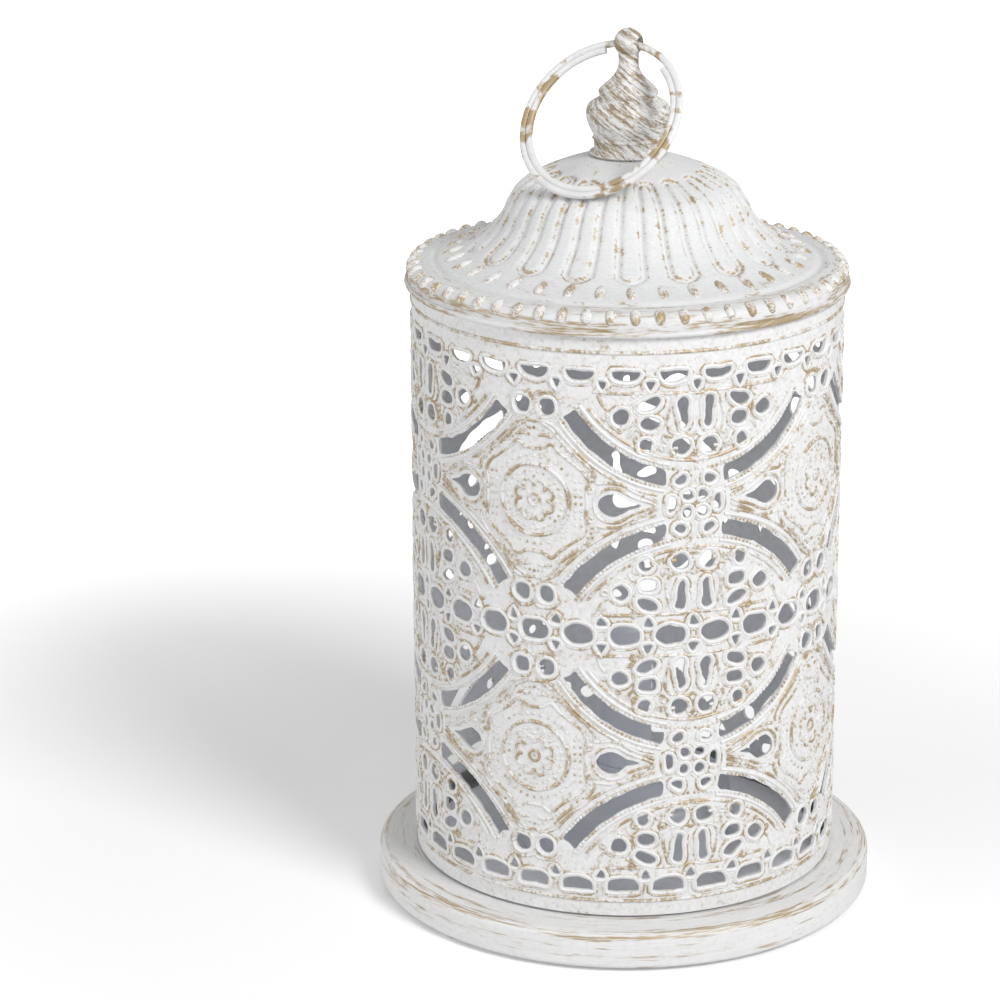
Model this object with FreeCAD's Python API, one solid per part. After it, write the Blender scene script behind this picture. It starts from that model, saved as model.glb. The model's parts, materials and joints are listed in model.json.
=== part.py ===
import FreeCAD, Part
import math
import os

# A pierced tin lantern: a round base, a lift-off drum with a fluted lid, a turned
# finial with a carrying ring, and a loose battery light that stands on the base.
# Millimetres, +Z up. The origin is the centre of the footprint, on the surface
# that the lantern stands on. The front, where the ring leans, faces -Y.

os.makedirs("parts", exist_ok=True)
Vector = FreeCAD.Vector
UP = Vector(0, 0, 1)
ORIGIN = Vector(0, 0, 0)

# General
sheet = 0.8                     # drum and lid metal
overrun = 3.0                   # how far a cutting tool passes the faces it cuts
rest_gap = 0.3                  # air between curved faces of pieces that move apart
wall_sides = 60                 # narrow flats that the rolled drum is drawn with

# Base
base_radius = 76.9
base_height = 12.5              # from the table to the face that the drum stands on
base_sheet = 1.0
base_top_round = 2.6
base_foot_round = 1.8
base_lip_width = 9.0
pad_thickness = 1.0
pad_radius = 3.2
pad_count = 4
collar_height = 5.0
collar_gap = 0.5                # between the collar and the drum around it
collar_flange = 3.4

# Drum
drum_radius = 65.0
drum_height = 184.0
row_pitch = 79.8                # between the bands of oval windows
middle_row_height = 89.7        # of the middle band, above the drum's lower edge
oval_count = 30
ovals_per_repeat = 7
seam_turn = -174.0              # degrees from the front to the seam
pattern_turn = 18.0             # degrees from the front to the nearest dome's centre

# Lid
lid_clearance = 0.1             # between the drum and the lid's skirt
skirt_height = 3.4
rim_round = 3.4
rim_lip = 1.0                   # how far the curled edge stands out
rim_lip_height = 1.8
lid_rise = 38.7                 # from the skirt's edge to the flat under the finial
crown_radius = 11.8             # the flat under the finial
shoulder_radius = 32.8
shoulder_drop = 9.2
waist_radius = 38.4
waist_drop = 18.8
ledge_radius = 50.0
ledge_drop = 28.4
flute_count = 36
flute_relief = 0.9
flute_inner_radius = 23.0
flute_outer_radius = 49.0

# Finial
finial_height = 38.0
finial_foot_radius = 11.4
finial_waist_radius = 8.6
finial_bulge_radius = 12.6
finial_ridge_radius = 8.9
finial_neck_radius = 3.0
ball_radius = 4.4
ring_hole_radius = 2.0
screw_radius = 2.0
screw_length = 14.0
screw_head_radius = 3.8
screw_head_height = 2.6
screw_clearance = 0.3
washer_radius = 7.5
washer_thickness = 1.0

# Carrying ring
ring_radius = 25.1              # to the centre of the outer wire
ring_wire_radius = 1.1
ring_play = 0.06                # between the bent wire and the ends of its hole
ring_braze = 0.12               # how far the two wires are brazed into each other
ring_turn = -31.0               # degrees, where the ring leans, from the front
inner_wire_left_angle = 17.0    # degrees from the ball to the inner wire's ends
inner_wire_right_angle = 38.0
wire_sides = 8

# Battery light
light_radius = 33.4
light_height = 19.0
light_wall = 1.6
light_edge_round = 1.4
floor_recess = 0.4
cell_radius = 7.1
cell_length = 49.0
cell_nub_radius = 2.6
cell_nub_length = 1.3
cell_gap = 0.3
tube_radius = 8.5
tube_wall = 1.2
tube_length = 55.0
socket_wall = 1.6
socket_height = 6.0
socket_floor = 1.0
lead_hole_radius = 3.0
part_gap = 0.2                  # between plastic pieces that fit into each other
board_thickness = 1.2
board_length = 22.0
board_width = 11.0
board_post_radius = 1.5
lamp_board_radius = 6.0
led_radius = 2.5
led_height = 7.0
led_flange = 0.5
switch_length = 8.4
switch_width = 4.2
switch_height = 4.4
knob_width = 3.2
knob_height = 2.0
knob_reach = 1.6
switch_travel = 3.0
contact_thickness = 0.4
contact_height = 9.0
contact_width = 8.0
end_rib = 1.2
end_rib_depth = 12.0
spring_tip_radius = 1.6
door_tab_width = 9.0
door_tab_length = 6.0
door_post_radius = 2.6
door_screw_radius = 1.1
door_screw_length = 8.0
door_screw_head_radius = 2.1
door_screw_head = 1.0


def save(shape, name):
    solids = shape.Solids
    result = solids[0] if len(solids) == 1 else Part.makeCompound(solids)
    result.exportStep("parts/" + name + ".step")
    print(name, len(solids), "solids", round(result.Volume, 1), "mm3", result.isValid())


def at(radius, height):
    return Vector(radius, 0, height)


def turned(points):
    """A solid of revolution from a closed outline in the XZ plane."""
    return Part.Face(Part.makePolygon(points + points[:1])).revolve(ORIGIN, UP, 360)


def rounded(centre, radius, start_angle, end_angle, steps=3):
    """Places round a corner in the XZ plane; angles are from +X towards +Z."""
    places = []
    for i in range(steps + 1):
        angle = math.radians(start_angle + (end_angle - start_angle) * i / steps)
        places.append(centre + at(radius * math.cos(angle), radius * math.sin(angle)))
    return places


def many_sided(radius, height, sides=wall_sides):
    """A closed outline whose corners lie on a circle about the upright axis."""
    points = []
    for i in range(sides):
        angle = 2 * math.pi * (i + 0.5) / sides
        points.append(Vector(radius * math.sin(angle), -radius * math.cos(angle), height))
    return Part.makePolygon(points + points[:1])


def sleeve(outer, inner, height, foot):
    """A straight ring drawn with the same narrow flats as the drum."""
    solid = Part.Face(many_sided(outer, foot)).extrude(UP * height)
    hollow = Part.Face(many_sided(inner, foot - overrun)).extrude(UP * (height + overrun + overrun))
    return solid.cut(hollow)


def around(shape, angle):
    copy = shape.copy()
    copy.rotate(ORIGIN, UP, angle)
    return copy


def block(low, high):
    size = high - low
    return Part.makeBox(size.x, size.y, size.z, low)


def join(shapes):
    return shapes[0].multiFuse(shapes[1:]).removeSplitter()


# Base: a pan pressed from one sheet, open below, with its edge turned in under it
def base_pan():
    foot = pad_thickness
    top_centre = at(base_radius - base_top_round, base_height - base_top_round)
    foot_centre = at(base_radius - base_foot_round, foot + base_foot_round)
    lip = base_radius - base_lip_width
    under = base_height - base_sheet
    outline = [at(0, base_height)]
    outline += rounded(top_centre, base_top_round, 90, 0)
    outline += rounded(foot_centre, base_foot_round, 0, -90, 1)
    outline += [at(lip, foot), at(lip, foot + base_sheet)]
    outline += rounded(foot_centre, base_foot_round - base_sheet, -90, 0, 1)
    outline += rounded(top_centre, base_top_round - base_sheet, 0, 90, 1)
    outline.append(at(0, under))
    return turned(outline)


def base_collar():
    outer = drum_radius - sheet - collar_gap
    wall = sleeve(outer, outer - sheet, collar_height, base_height)
    flange = sleeve(outer - sheet / 2, outer - collar_flange, sheet, base_height)
    return join([wall, flange])


def foot_pads():
    place = base_radius - base_foot_round - pad_radius
    pad = Part.makeCylinder(pad_radius, pad_thickness, at(place, 0))
    return Part.makeCompound([around(pad, 45 + 360 * i / pad_count) for i in range(pad_count)])


# Drum: the pattern is set out from the centre line of a dome, round the drum and up
# from a band of ovals, both as shares of the drum's radius
oval_turn = 360.0 / oval_count
oval_half_width_share = 0.0716
oval_half_height_share = 0.045
band_centre_share = -0.183
band_inner_share = 0.645
band_outer_share = 0.722
band_inner_cut_share = 0.132
band_end_angle = 33.5
# sideways, up, half width and half height of a dome's round openings
dome_hole_shares = [
    (0.212, 0.147, 0.048, 0.027),
    (0.209, 0.236, 0.040, 0.031),
    (0.335, 0.205, 0.037, 0.036),
    (0.065, 0.345, 0.040, 0.038),
]
slit_shares = [(0.040, 0.255), (0.036, 0.118), (0.082, 0.118), (0.062, 0.255)]
eye_share = (0.060, 0.176, 0.037, 0.038)
heart_shares = [(0.302, 0.0), (0.352, 0.048), (0.489, 0.0), (0.352, -0.048)]


def ring_of(centre, half_width, half_height, sides):
    """A many-sided oval, in shares, with flat sides where its half axes end."""
    out = 1 / math.cos(math.pi / sides)
    places = []
    for i in range(sides):
        angle = 2 * math.pi * (i + 0.5) / sides
        places.append((centre[0] + half_width * out * math.cos(angle),
                       centre[1] + half_height * out * math.sin(angle)))
    return places


def band_places(steps):
    """One of the wide curved slots that run round a dome."""
    inner_start = math.acos(band_inner_cut_share / band_inner_share)
    outer_start = math.acos(band_inner_cut_share / band_outer_share)
    end = math.radians(band_end_angle)
    places = []
    for radius, first, last in ((band_inner_share, inner_start, end),
                                (band_outer_share, end, outer_start)):
        for i in range(steps + 1):
            angle = first + (last - first) * i / steps
            places.append((radius * math.cos(angle),
                           band_centre_share + radius * math.sin(angle)))
    return places


def cutter(places, angle, height):
    """A radial prism through the wall; places are shares round and up the drum."""
    middle = sum(place[0] for place in places) / len(places)
    reach = max(abs(place[0] - middle) for place in places)
    points = []
    for sideways, up in places:
        points.append(Vector(drum_radius * math.sin(sideways - middle),
                             -drum_radius - overrun, height + drum_radius * up))
    face = Part.Face(Part.makePolygon(points + points[:1]))
    depth = overrun + sheet + drum_radius * (1 - math.cos(reach)) + overrun
    return around(face.extrude(Vector(0, depth, 0)), angle + math.degrees(middle))


def mirrored(places, side, way):
    return [(side * x, way * y) for x, y in places]


def drum_cutters():
    tools = []
    repeat = oval_turn * ovals_per_repeat
    first = seam_turn
    last = first + 360
    middle = base_height + middle_row_height
    rows = [(middle - row_pitch, 1), (middle, -1), (middle, 1), (middle + row_pitch, -1)]
    seam_margin = oval_turn / 6

    def add(places, angle, height):
        ends = [angle + math.degrees(place[0]) for place in places]
        if min(ends) > first + seam_margin and max(ends) < last - seam_margin:
            tools.append(cutter(places, angle, height))

    wide = oval_half_width_share
    high = oval_half_height_share
    oval = ring_of((0, 0), wide, high, 6)
    # The outer bands keep only the half of each oval that faces the pattern
    half = [(wide, 0.4 * high), (-wide, 0.4 * high), (-wide, -0.3 * high),
            (-wide / 2, -high), (wide / 2, -high), (wide, -0.3 * high)]
    for i in range(oval_count):
        angle = first + oval_turn * (i + 0.5)
        add(oval, angle, middle)
        add(half, angle, middle + row_pitch)
        add(mirrored(half, 1, -1), angle, middle - row_pitch)

    centre = pattern_turn - 3 * repeat
    while centre < last + repeat:
        for height, way in rows:
            for side in (-1, 1):
                for x, y, half_width, half_height in dome_hole_shares:
                    hole = ring_of((x, y), half_width, half_height, 4)
                    add(mirrored(hole, side, way), centre, height)
                add(mirrored(slit_shares, side, way), centre, height)
                add(mirrored(band_places(3), side, way), centre, height)
                eye = ring_of(eye_share[:2], eye_share[2], eye_share[3], 5)
                add(mirrored(eye, side, way), centre + repeat / 2, height)
        for height in (middle - row_pitch / 2, middle + row_pitch / 2):
            for side in (-1, 1):
                add(mirrored(heart_shares, side, 1), centre + repeat / 2, height)
        centre += repeat
    return tools


def drum():
    wall = sleeve(drum_radius, drum_radius - sheet, drum_height, base_height)
    return wall.cut(drum_cutters())


# Lid: pressed in one piece, with flutes that fade out above and below
lid_edge = base_height + drum_height - skirt_height - sheet
skirt_radius = drum_radius + lid_clearance + sheet
crown_height = lid_edge + lid_rise


def lid_profile():
    """Radius and height of the lid's upper side, from the crown to the skirt."""
    crown = at(crown_radius, crown_height)
    shoulder = at(shoulder_radius, crown_height - shoulder_drop)
    waist = at(waist_radius, crown_height - waist_drop)
    ledge = at(ledge_radius, crown_height - ledge_drop)
    rim_centre = at(skirt_radius - rim_round, lid_edge + skirt_height)
    rim = rounded(rim_centre, rim_round, 80, 0, 2)
    crown_arc = Part.Arc(crown, crown + at(0.6 * (shoulder.x - crown.x), -0.3 * shoulder_drop), shoulder)
    flank_arc = Part.Arc(shoulder, waist, ledge)
    ledge_arc = Part.Arc(ledge, (ledge + rim[0]) * 0.5 - at(0, sheet / 2), rim[0])
    places = crown_arc.discretize(4)[:-1] + flank_arc.discretize(5)[:-1]
    return places + ledge_arc.discretize(3)[:-1] + rim


def flute_depth(radius):
    """The flutes are deepest on the flank and run out towards both ends."""
    if radius <= flute_inner_radius or radius >= flute_outer_radius:
        return 0
    share = (radius - flute_inner_radius) / (flute_outer_radius - flute_inner_radius)
    return flute_relief * min(1, 3 * share, 3 * (1 - share))


def fluted_outline(radius, height, depth):
    """One level of the lid's upper side, with a crest and a groove for each flute."""
    points = []
    for i in range(2 * flute_count):
        angle = math.pi * i / flute_count
        reach = radius + (depth / 2 if i % 2 else -depth / 2)
        points.append(Vector(reach * math.sin(angle), -reach * math.cos(angle), height))
    return Part.makePolygon(points + points[:1])


def lid():
    places = lid_profile()
    upper = [fluted_outline(place.x, place.z, flute_depth(place.x)) for place in places]
    upper.append(fluted_outline(skirt_radius, lid_edge, 0))
    lower = []
    for before, place, after in zip(places, places[1:], places[2:]):
        along = after - before
        along.normalize()
        inside = place + at(along.z, -along.x) * sheet
        lower.append(many_sided(inside.x - flute_depth(place.x) / 2, inside.z, flute_count))
    seat = base_height + drum_height
    lower = [many_sided(crown_radius, crown_height - sheet, flute_count)] + lower
    lower.append(many_sided(drum_radius - sheet / 2, seat, flute_count))
    lip = sleeve(skirt_radius + rim_lip, skirt_radius - sheet / 2, rim_lip_height, lid_edge)
    drum_room = Part.Face(many_sided(drum_radius + lid_clearance, lid_edge - overrun))
    body = Part.makeLoft(upper, True, True).fuse(lip)
    body = body.cut(Part.makeLoft(lower, True, True))
    body = body.cut(drum_room.extrude(UP * (seat - lid_edge + overrun)))
    return body.cut(Part.makeCylinder(screw_radius + screw_clearance, lid_rise + overrun, at(0, lid_edge)))


# Finial: turned from one bar, with a cross hole in the ball for the carrying ring
def ball_centre():
    return crown_height + finial_height - ball_radius


def finial():
    foot = crown_height
    neck_top = math.sqrt(ball_radius ** 2 - finial_neck_radius ** 2)
    # radius and share of the height for each level below the ball
    levels_shares = [
        (finial_foot_radius, 0.0), (finial_foot_radius, 0.024), (finial_waist_radius, 0.085),
        (finial_waist_radius, 0.105), (0.84 * finial_bulge_radius, 0.165),
        (0.96 * finial_bulge_radius, 0.262), (finial_bulge_radius, 0.335),
        (0.9 * finial_bulge_radius, 0.418), (0.97 * finial_ridge_radius, 0.455),
        (finial_ridge_radius, 0.505), (0.82 * finial_ridge_radius, 0.552),
        (0.5 * finial_ridge_radius, 0.625), (finial_neck_radius, 0.70),
    ]
    outline = [at(0, foot)]
    outline += [at(radius, foot + finial_height * share) for radius, share in levels_shares]
    start = -math.degrees(math.atan2(neck_top, finial_neck_radius))
    outline += rounded(at(0, ball_centre()), ball_radius, start, 90, 6)
    body = turned(outline)
    hole = Part.makeCylinder(ring_hole_radius, ball_radius * 3, Vector(-ball_radius * 1.5, 0, ball_centre()),
                             Vector(1, 0, 0))
    thread_depth = screw_length - sheet - washer_thickness
    thread = Part.makeCylinder(screw_radius, thread_depth + screw_clearance + overrun, at(0, foot - overrun))
    return body.cut(around(hole, ring_turn)).cut(thread)


def finial_washer():
    top = crown_height - sheet
    washer = Part.makeCylinder(washer_radius, washer_thickness, at(0, top - washer_thickness))
    return washer.cut(Part.makeCylinder(screw_radius + screw_clearance, lid_rise, at(0, lid_edge)))


def finial_screw():
    seat = crown_height - sheet - washer_thickness
    head = turned([at(0, seat), at(screw_head_radius, seat), at(screw_head_radius, seat - screw_head_height / 2),
                   at(screw_head_radius / 2, seat - screw_head_height), at(0, seat - screw_head_height)])
    slot = block(Vector(-screw_head_radius, -sheet / 2, seat - screw_head_height - overrun),
                 Vector(screw_head_radius, sheet / 2, seat - screw_head_height / 2))
    shank = Part.makeCylinder(screw_radius, screw_length, at(0, seat))
    return join([head.cut(slot), shank])


# Carrying ring: two brazed wires, of which only the outer one passes through the ball
ring_sag = ring_radius - math.sqrt(ring_radius ** 2 - ball_radius ** 2)
hinge_height = ball_centre() - (ring_hole_radius - ring_wire_radius - ring_sag - ring_play)


def distance_to_lid(radius, height):
    """From a place beside the axis to the nearest stretch of the lid's profile."""
    place = at(radius, height)
    places = [at(0, crown_height)] + lid_profile()
    nearest = min(place.distanceToPoint(corner) for corner in places)
    for low, high in zip(places, places[1:]):
        run = high - low
        share = (place - low).dot(run) / run.dot(run)
        if 0 < share < 1:
            nearest = min(nearest, place.distanceToPoint(low + run * share))
    return nearest


def ring_clearance(lean):
    """Air between the leaning ring and the lid; lean is degrees below level."""
    slope = math.radians(lean)
    nearest = lid_rise
    steps = 72
    for i in range(steps):
        angle = 2 * math.pi * i / steps
        along = ring_radius * (1 - math.cos(angle))
        side = ring_radius * math.sin(angle)
        out = math.hypot(along * math.cos(slope), side)
        height = hinge_height - along * math.sin(slope)
        if height < crown_height + ring_radius:
            nearest = min(nearest, distance_to_lid(out, height))
    return nearest - ring_wire_radius - flute_relief / 2


def resting_lean():
    """The ring leans until it lies on the lid's shoulder."""
    level = 0.0
    steep = 60.0
    while steep - level > 0.01:
        middle = (level + steep) / 2
        if ring_clearance(middle) > rest_gap:
            level = middle
        else:
            steep = middle
    return level


def wire_arc(radius, start, sweep):
    """A wire round the ring's centre; angles run from the ball towards the right."""
    points = []
    for i in range(wire_sides):
        angle = 2 * math.pi * (i + 0.5) / wire_sides
        points.append(Vector(0, ring_wire_radius * math.cos(angle), radius + ring_wire_radius * math.sin(angle)))
    section = Part.Face(Part.makePolygon(points + points[:1]))
    section.rotate(ORIGIN, Vector(0, 1, 0), start)
    return section.revolve(ORIGIN, Vector(0, 1, 0), sweep)


def lean_and_hang(shape):
    shape.translate(Vector(0, 0, -ring_radius))
    shape.rotate(ORIGIN, Vector(1, 0, 0), resting_lean() - 90)
    shape.rotate(ORIGIN, UP, ring_turn)
    shape.translate(Vector(0, 0, hinge_height))
    return shape


def ring_outer_wire():
    return lean_and_hang(wire_arc(ring_radius, 0, 360))


def ring_inner_wire():
    flats = math.cos(math.pi / wire_sides)
    radius = ring_radius - 2 * ring_wire_radius * flats + ring_braze
    sweep = 360 - inner_wire_left_angle - inner_wire_right_angle
    return lean_and_hang(wire_arc(radius, inner_wire_right_angle, sweep))


# Battery light: a round plastic housing with two cells, and a tube over one lamp
light_foot = base_height
light_top = light_foot + light_height
light_inside = light_radius - light_wall
floor_top = light_foot + floor_recess + light_wall
cell_axis_height = floor_top + cell_gap + cell_radius
cell_spacing = cell_radius + cell_gap
bay_half_length = cell_length / 2 + cell_nub_length
board_height = light_foot + light_height / 2 - board_thickness / 2
board_near = 2 * cell_spacing + cell_gap + board_post_radius
post_place = board_near + board_post_radius + part_gap
switch_centre_height = board_height + board_thickness + switch_height / 2
switch_front = board_near + board_width
door_half_length = bay_half_length - part_gap
door_half_width = cell_spacing + cell_radius
door_screw_place = -door_half_width - door_tab_length / 2
socket_radius = tube_radius + part_gap + socket_wall
tube_foot = light_top + socket_floor


def light_housing():
    edge = at(light_radius - light_edge_round, light_top - light_edge_round)
    outline = [at(0, light_top)] + rounded(edge, light_edge_round, 90, 0, 2)
    outline += [at(light_radius, light_foot), at(light_inside, light_foot)]
    outline += [at(light_inside, light_top - light_wall), at(0, light_top - light_wall)]
    body = turned(outline)
    under = light_top - light_wall
    ribs = []
    for side in (-1, 1):
        near = side * (bay_half_length + contact_thickness)
        far = near + side * end_rib
        ribs.append(block(Vector(min(near, far), -door_half_width, under - end_rib_depth),
                          Vector(max(near, far), door_half_width, under + light_wall / 2)))
        ribs.append(Part.makeCylinder(board_post_radius, under - board_height - board_thickness + light_wall / 2,
                                      Vector(side * board_length * 0.38, post_place,
                                             board_height + board_thickness)))
    post = Part.makeCylinder(door_post_radius, under - floor_top + light_wall / 2,
                             Vector(0, door_screw_place, floor_top))
    body = join([body] + ribs + [post])
    thread = Part.makeCylinder(door_screw_radius, door_screw_length + overrun,
                               Vector(0, door_screw_place, light_foot))
    leads = Part.makeCylinder(lead_hole_radius, light_height, at(0, light_foot + light_height / 2))
    half_slot = (knob_width + switch_travel) / 2 + part_gap
    slot = block(Vector(-half_slot, light_inside - overrun, switch_centre_height - knob_height / 2 - part_gap),
                 Vector(half_slot, light_radius + overrun, switch_centre_height + knob_height / 2 + part_gap))
    return body.cut([thread, leads, slot])


def door_outline(grow, low, high):
    """The battery door and its screw tab, or with grow the opening for them."""
    plate = block(Vector(-door_half_length - grow, -door_half_width - grow, low),
                  Vector(door_half_length + grow, door_half_width + grow, high))
    tab = block(Vector(-door_tab_width / 2 - grow, -door_half_width - door_tab_length - grow, low),
                Vector(door_tab_width / 2 + grow, -door_half_width + sheet, high))
    return join([plate, tab])


def light_floor():
    plate = Part.makeCylinder(light_inside - part_gap, light_wall, at(0, light_foot + floor_recess))
    return plate.cut(door_outline(part_gap, light_foot - overrun, floor_top + overrun))


def battery_door():
    door = door_outline(0, light_foot + floor_recess, floor_top)
    seat = Part.makeCylinder(door_screw_head_radius + part_gap, door_screw_head + overrun,
                             Vector(0, door_screw_place, light_foot + floor_recess - overrun))
    hole = Part.makeCylinder(door_screw_radius + part_gap, light_height, Vector(0, door_screw_place, light_foot))
    return door.cut([seat, hole])


def door_screw():
    seat = light_foot + floor_recess + door_screw_head
    head = Part.makeCylinder(door_screw_head_radius, door_screw_head - part_gap,
                             Vector(0, door_screw_place, light_foot + floor_recess + part_gap))
    shank = Part.makeCylinder(door_screw_radius, door_screw_length, Vector(0, door_screw_place, seat - part_gap))
    return join([head, shank])


def battery_cells():
    cells = []
    for side in (-1, 1):
        start = Vector(-side * cell_length / 2, side * cell_spacing, cell_axis_height)
        along = Vector(side, 0, 0)
        can = Part.makeCylinder(cell_radius, cell_length, start, along)
        nub = Part.makeCylinder(cell_nub_radius, cell_nub_length, start + along * cell_length, along)
        cells.append(join([can, nub]))
    return Part.makeCompound(cells)


def contact_springs():
    springs = []
    for side in (-1, 1):
        foot = Vector(-side * bay_half_length, side * cell_spacing, cell_axis_height)
        springs.append(Part.makeCone(contact_height / 3, spring_tip_radius, cell_nub_length, foot, Vector(side, 0, 0)))
    return Part.makeCompound(springs)


def contact_plates():
    low = cell_axis_height - contact_height / 2
    high = cell_axis_height + contact_height / 2
    plates = []
    for side in (-1, 1):
        near = side * bay_half_length
        far = near + side * contact_thickness
        ends = (min(near, far), max(near, far))
        if side < 0:
            plates.append(block(Vector(ends[0], -cell_spacing - contact_width / 2, low),
                                Vector(ends[1], cell_spacing + contact_width / 2, high)))
        else:
            for place in (-cell_spacing, cell_spacing):
                plates.append(block(Vector(ends[0], place - contact_width / 2, low),
                                    Vector(ends[1], place + contact_width / 2, high)))
    return Part.makeCompound(plates)


def circuit_board():
    return block(Vector(-board_length / 2, board_near, board_height),
                 Vector(board_length / 2, board_near + board_width, board_height + board_thickness))


def switch_body():
    low = board_height + board_thickness
    return block(Vector(-switch_length / 2, switch_front - switch_width, low),
                 Vector(switch_length / 2, switch_front, low + switch_height))


def switch_knob():
    left = -(knob_width + switch_travel) / 2
    return block(Vector(left, switch_front, switch_centre_height - knob_height / 2),
                 Vector(left + knob_width, light_radius + knob_reach, switch_centre_height + knob_height / 2))


def tube_socket():
    inside = tube_radius + part_gap
    points = [at(lead_hole_radius, light_top), at(socket_radius, light_top),
              at(socket_radius, light_top + socket_height), at(inside, light_top + socket_height),
              at(inside, tube_foot), at(lead_hole_radius, tube_foot)]
    return turned(points)


def light_tube():
    straight = tube_foot + tube_length - tube_radius
    outline = rounded(at(0, straight), tube_radius, 0, 90, 4)
    outline += rounded(at(0, straight), tube_radius - tube_wall, 90, 0, 3)
    outline += [at(tube_radius - tube_wall, tube_foot), at(tube_radius, tube_foot)]
    return turned(outline)


def lamp_board():
    return Part.makeCylinder(lamp_board_radius, board_thickness, at(0, tube_foot))


def lamp():
    foot = tube_foot + board_thickness
    straight = foot + led_height - led_radius
    flange = at(led_radius + led_flange, foot + led_flange * 2)
    outline = [at(0, foot), at(flange.x, foot), flange, at(led_radius, flange.z)]
    outline += rounded(at(0, straight), led_radius, 0, 90, 3)
    return turned(outline)


pieces = {
    "base_pan": base_pan, "base_collar": base_collar, "foot_pads": foot_pads,
    "pierced_drum": drum, "lid": lid, "finial": finial, "finial_washer": finial_washer,
    "finial_screw": finial_screw, "ring_outer_wire": ring_outer_wire,
    "ring_inner_wire": ring_inner_wire, "light_housing": light_housing,
    "light_floor": light_floor, "battery_door": battery_door, "door_screw": door_screw,
    "battery_cells": battery_cells, "contact_springs": contact_springs,
    "contact_plates": contact_plates, "circuit_board": circuit_board,
    "switch_body": switch_body, "switch_knob": switch_knob, "tube_socket": tube_socket,
    "light_tube": light_tube, "lamp_board": lamp_board, "lamp": lamp,
}
for name, make in pieces.items():
    save(make(), name)

print("ring leans", round(resting_lean(), 2), "degrees below level, hinge at", round(hinge_height, 3))
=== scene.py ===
# %% [markdown]
# # A pierced tin lantern
#
# The real lantern is thin steel sheet, pressed with a lace-like pattern, rolled into
# a drum and painted chalky white over gold. The gold shows wherever the brush
# skipped: on raised edges, beads and rims. This lesson builds it piece by piece
# round the CAD model, which stays the measure for every size.

# %% Load the frame
import json
import math

import bmesh
import bpy
from mathutils import Matrix, Vector, noise


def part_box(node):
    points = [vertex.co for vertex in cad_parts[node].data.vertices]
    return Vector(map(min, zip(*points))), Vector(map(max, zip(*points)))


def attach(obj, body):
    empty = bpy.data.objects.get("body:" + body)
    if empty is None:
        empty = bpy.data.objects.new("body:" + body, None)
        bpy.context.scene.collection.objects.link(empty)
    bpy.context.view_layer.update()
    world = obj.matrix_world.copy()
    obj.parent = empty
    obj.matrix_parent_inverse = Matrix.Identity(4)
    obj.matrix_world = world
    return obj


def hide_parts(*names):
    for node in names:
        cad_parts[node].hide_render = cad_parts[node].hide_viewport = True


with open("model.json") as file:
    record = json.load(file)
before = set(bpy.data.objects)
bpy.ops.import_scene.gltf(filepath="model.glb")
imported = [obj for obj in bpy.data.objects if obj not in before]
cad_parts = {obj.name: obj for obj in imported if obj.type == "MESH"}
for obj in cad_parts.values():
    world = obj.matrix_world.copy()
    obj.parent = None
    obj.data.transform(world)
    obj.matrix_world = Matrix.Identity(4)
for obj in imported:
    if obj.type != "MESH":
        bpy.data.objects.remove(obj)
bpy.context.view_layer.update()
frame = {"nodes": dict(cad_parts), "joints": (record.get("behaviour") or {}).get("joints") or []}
MM = 0.001
UP = Vector((0, 0, 1))
FULL_TURN = 2 * math.pi
QUARTER_TURN = math.radians(90)

# %% [markdown]
# ## Sizes
#
# The drum, the base and the lid share one axis, so a few radii and heights place
# everything. They could be typed in, but they are read from the CAD nodes' boxes
# where a node gives them, so the visible pieces can't drift away from the frame.

# %% Sizes
DRUM_RADIUS = 65.0 * MM
SHEET = 0.8 * MM
DRUM_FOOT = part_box("pierced_drum")[0].z
DRUM_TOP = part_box("pierced_drum")[1].z
BASE_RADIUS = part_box("base_pan")[1].x
BASE_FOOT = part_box("base_pan")[0].z
BASE_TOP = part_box("base_pan")[1].z
LID_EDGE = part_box("lid")[0].z
CROWN_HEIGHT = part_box("lid")[1].z
FINIAL_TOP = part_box("finial")[1].z
MIDDLE_ROW_RISE = 89.7 * MM
MIDDLE_ROW = DRUM_FOOT + MIDDLE_ROW_RISE
ROW_PITCH = 79.8 * MM
MERGE_DISTANCE = 0.001 * MM
print("drum", DRUM_FOOT, DRUM_TOP, "lid", LID_EDGE, CROWN_HEIGHT)

# %% [markdown]
# ## Helpers for shader nodes
#
# A material can be wired in the editor, but a script that wires it stays readable
# only if each node takes one line. These helpers add a node, fill its sockets with
# plain values or with other nodes' outputs, and hand back its result.

# %% Node helpers
MIX_FIRST_COLOR = 6
MIX_SECOND_COLOR = 7
MIX_COLOR_RESULT = 2


def add_node(tree, kind, **values):
    node = tree.nodes.new(kind)
    for name, value in values.items():
        setattr(node, name, value)
    return node


def give(tree, socket, value):
    """Sets a socket to a plain value, or joins another node's output to it."""
    if isinstance(value, bpy.types.NodeSocket):
        tree.links.new(value, socket)
    else:
        socket.default_value = value


def give_all(tree, node, values):
    for socket, value in values.items():
        give(tree, node.inputs[socket], value)


def math_node(tree, operation, first, second):
    node = add_node(tree, "ShaderNodeMath", operation=operation)
    give_all(tree, node, {0: first, 1: second})
    return node.outputs[0]


def vector_node(tree, operation, first, second=None):
    node = add_node(tree, "ShaderNodeVectorMath", operation=operation)
    give(tree, node.inputs[0], first)
    if second is not None:
        give(tree, node.inputs["Scale" if operation == "SCALE" else 1], second)
    return node.outputs["Value" if operation == "LENGTH" else "Vector"]


def noise_node(tree, vector, scale, detail):
    node = add_node(tree, "ShaderNodeTexNoise")
    give_all(tree, node, {"Vector": vector, "Scale": scale, "Detail": detail})
    return node.outputs["Fac"]


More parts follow.
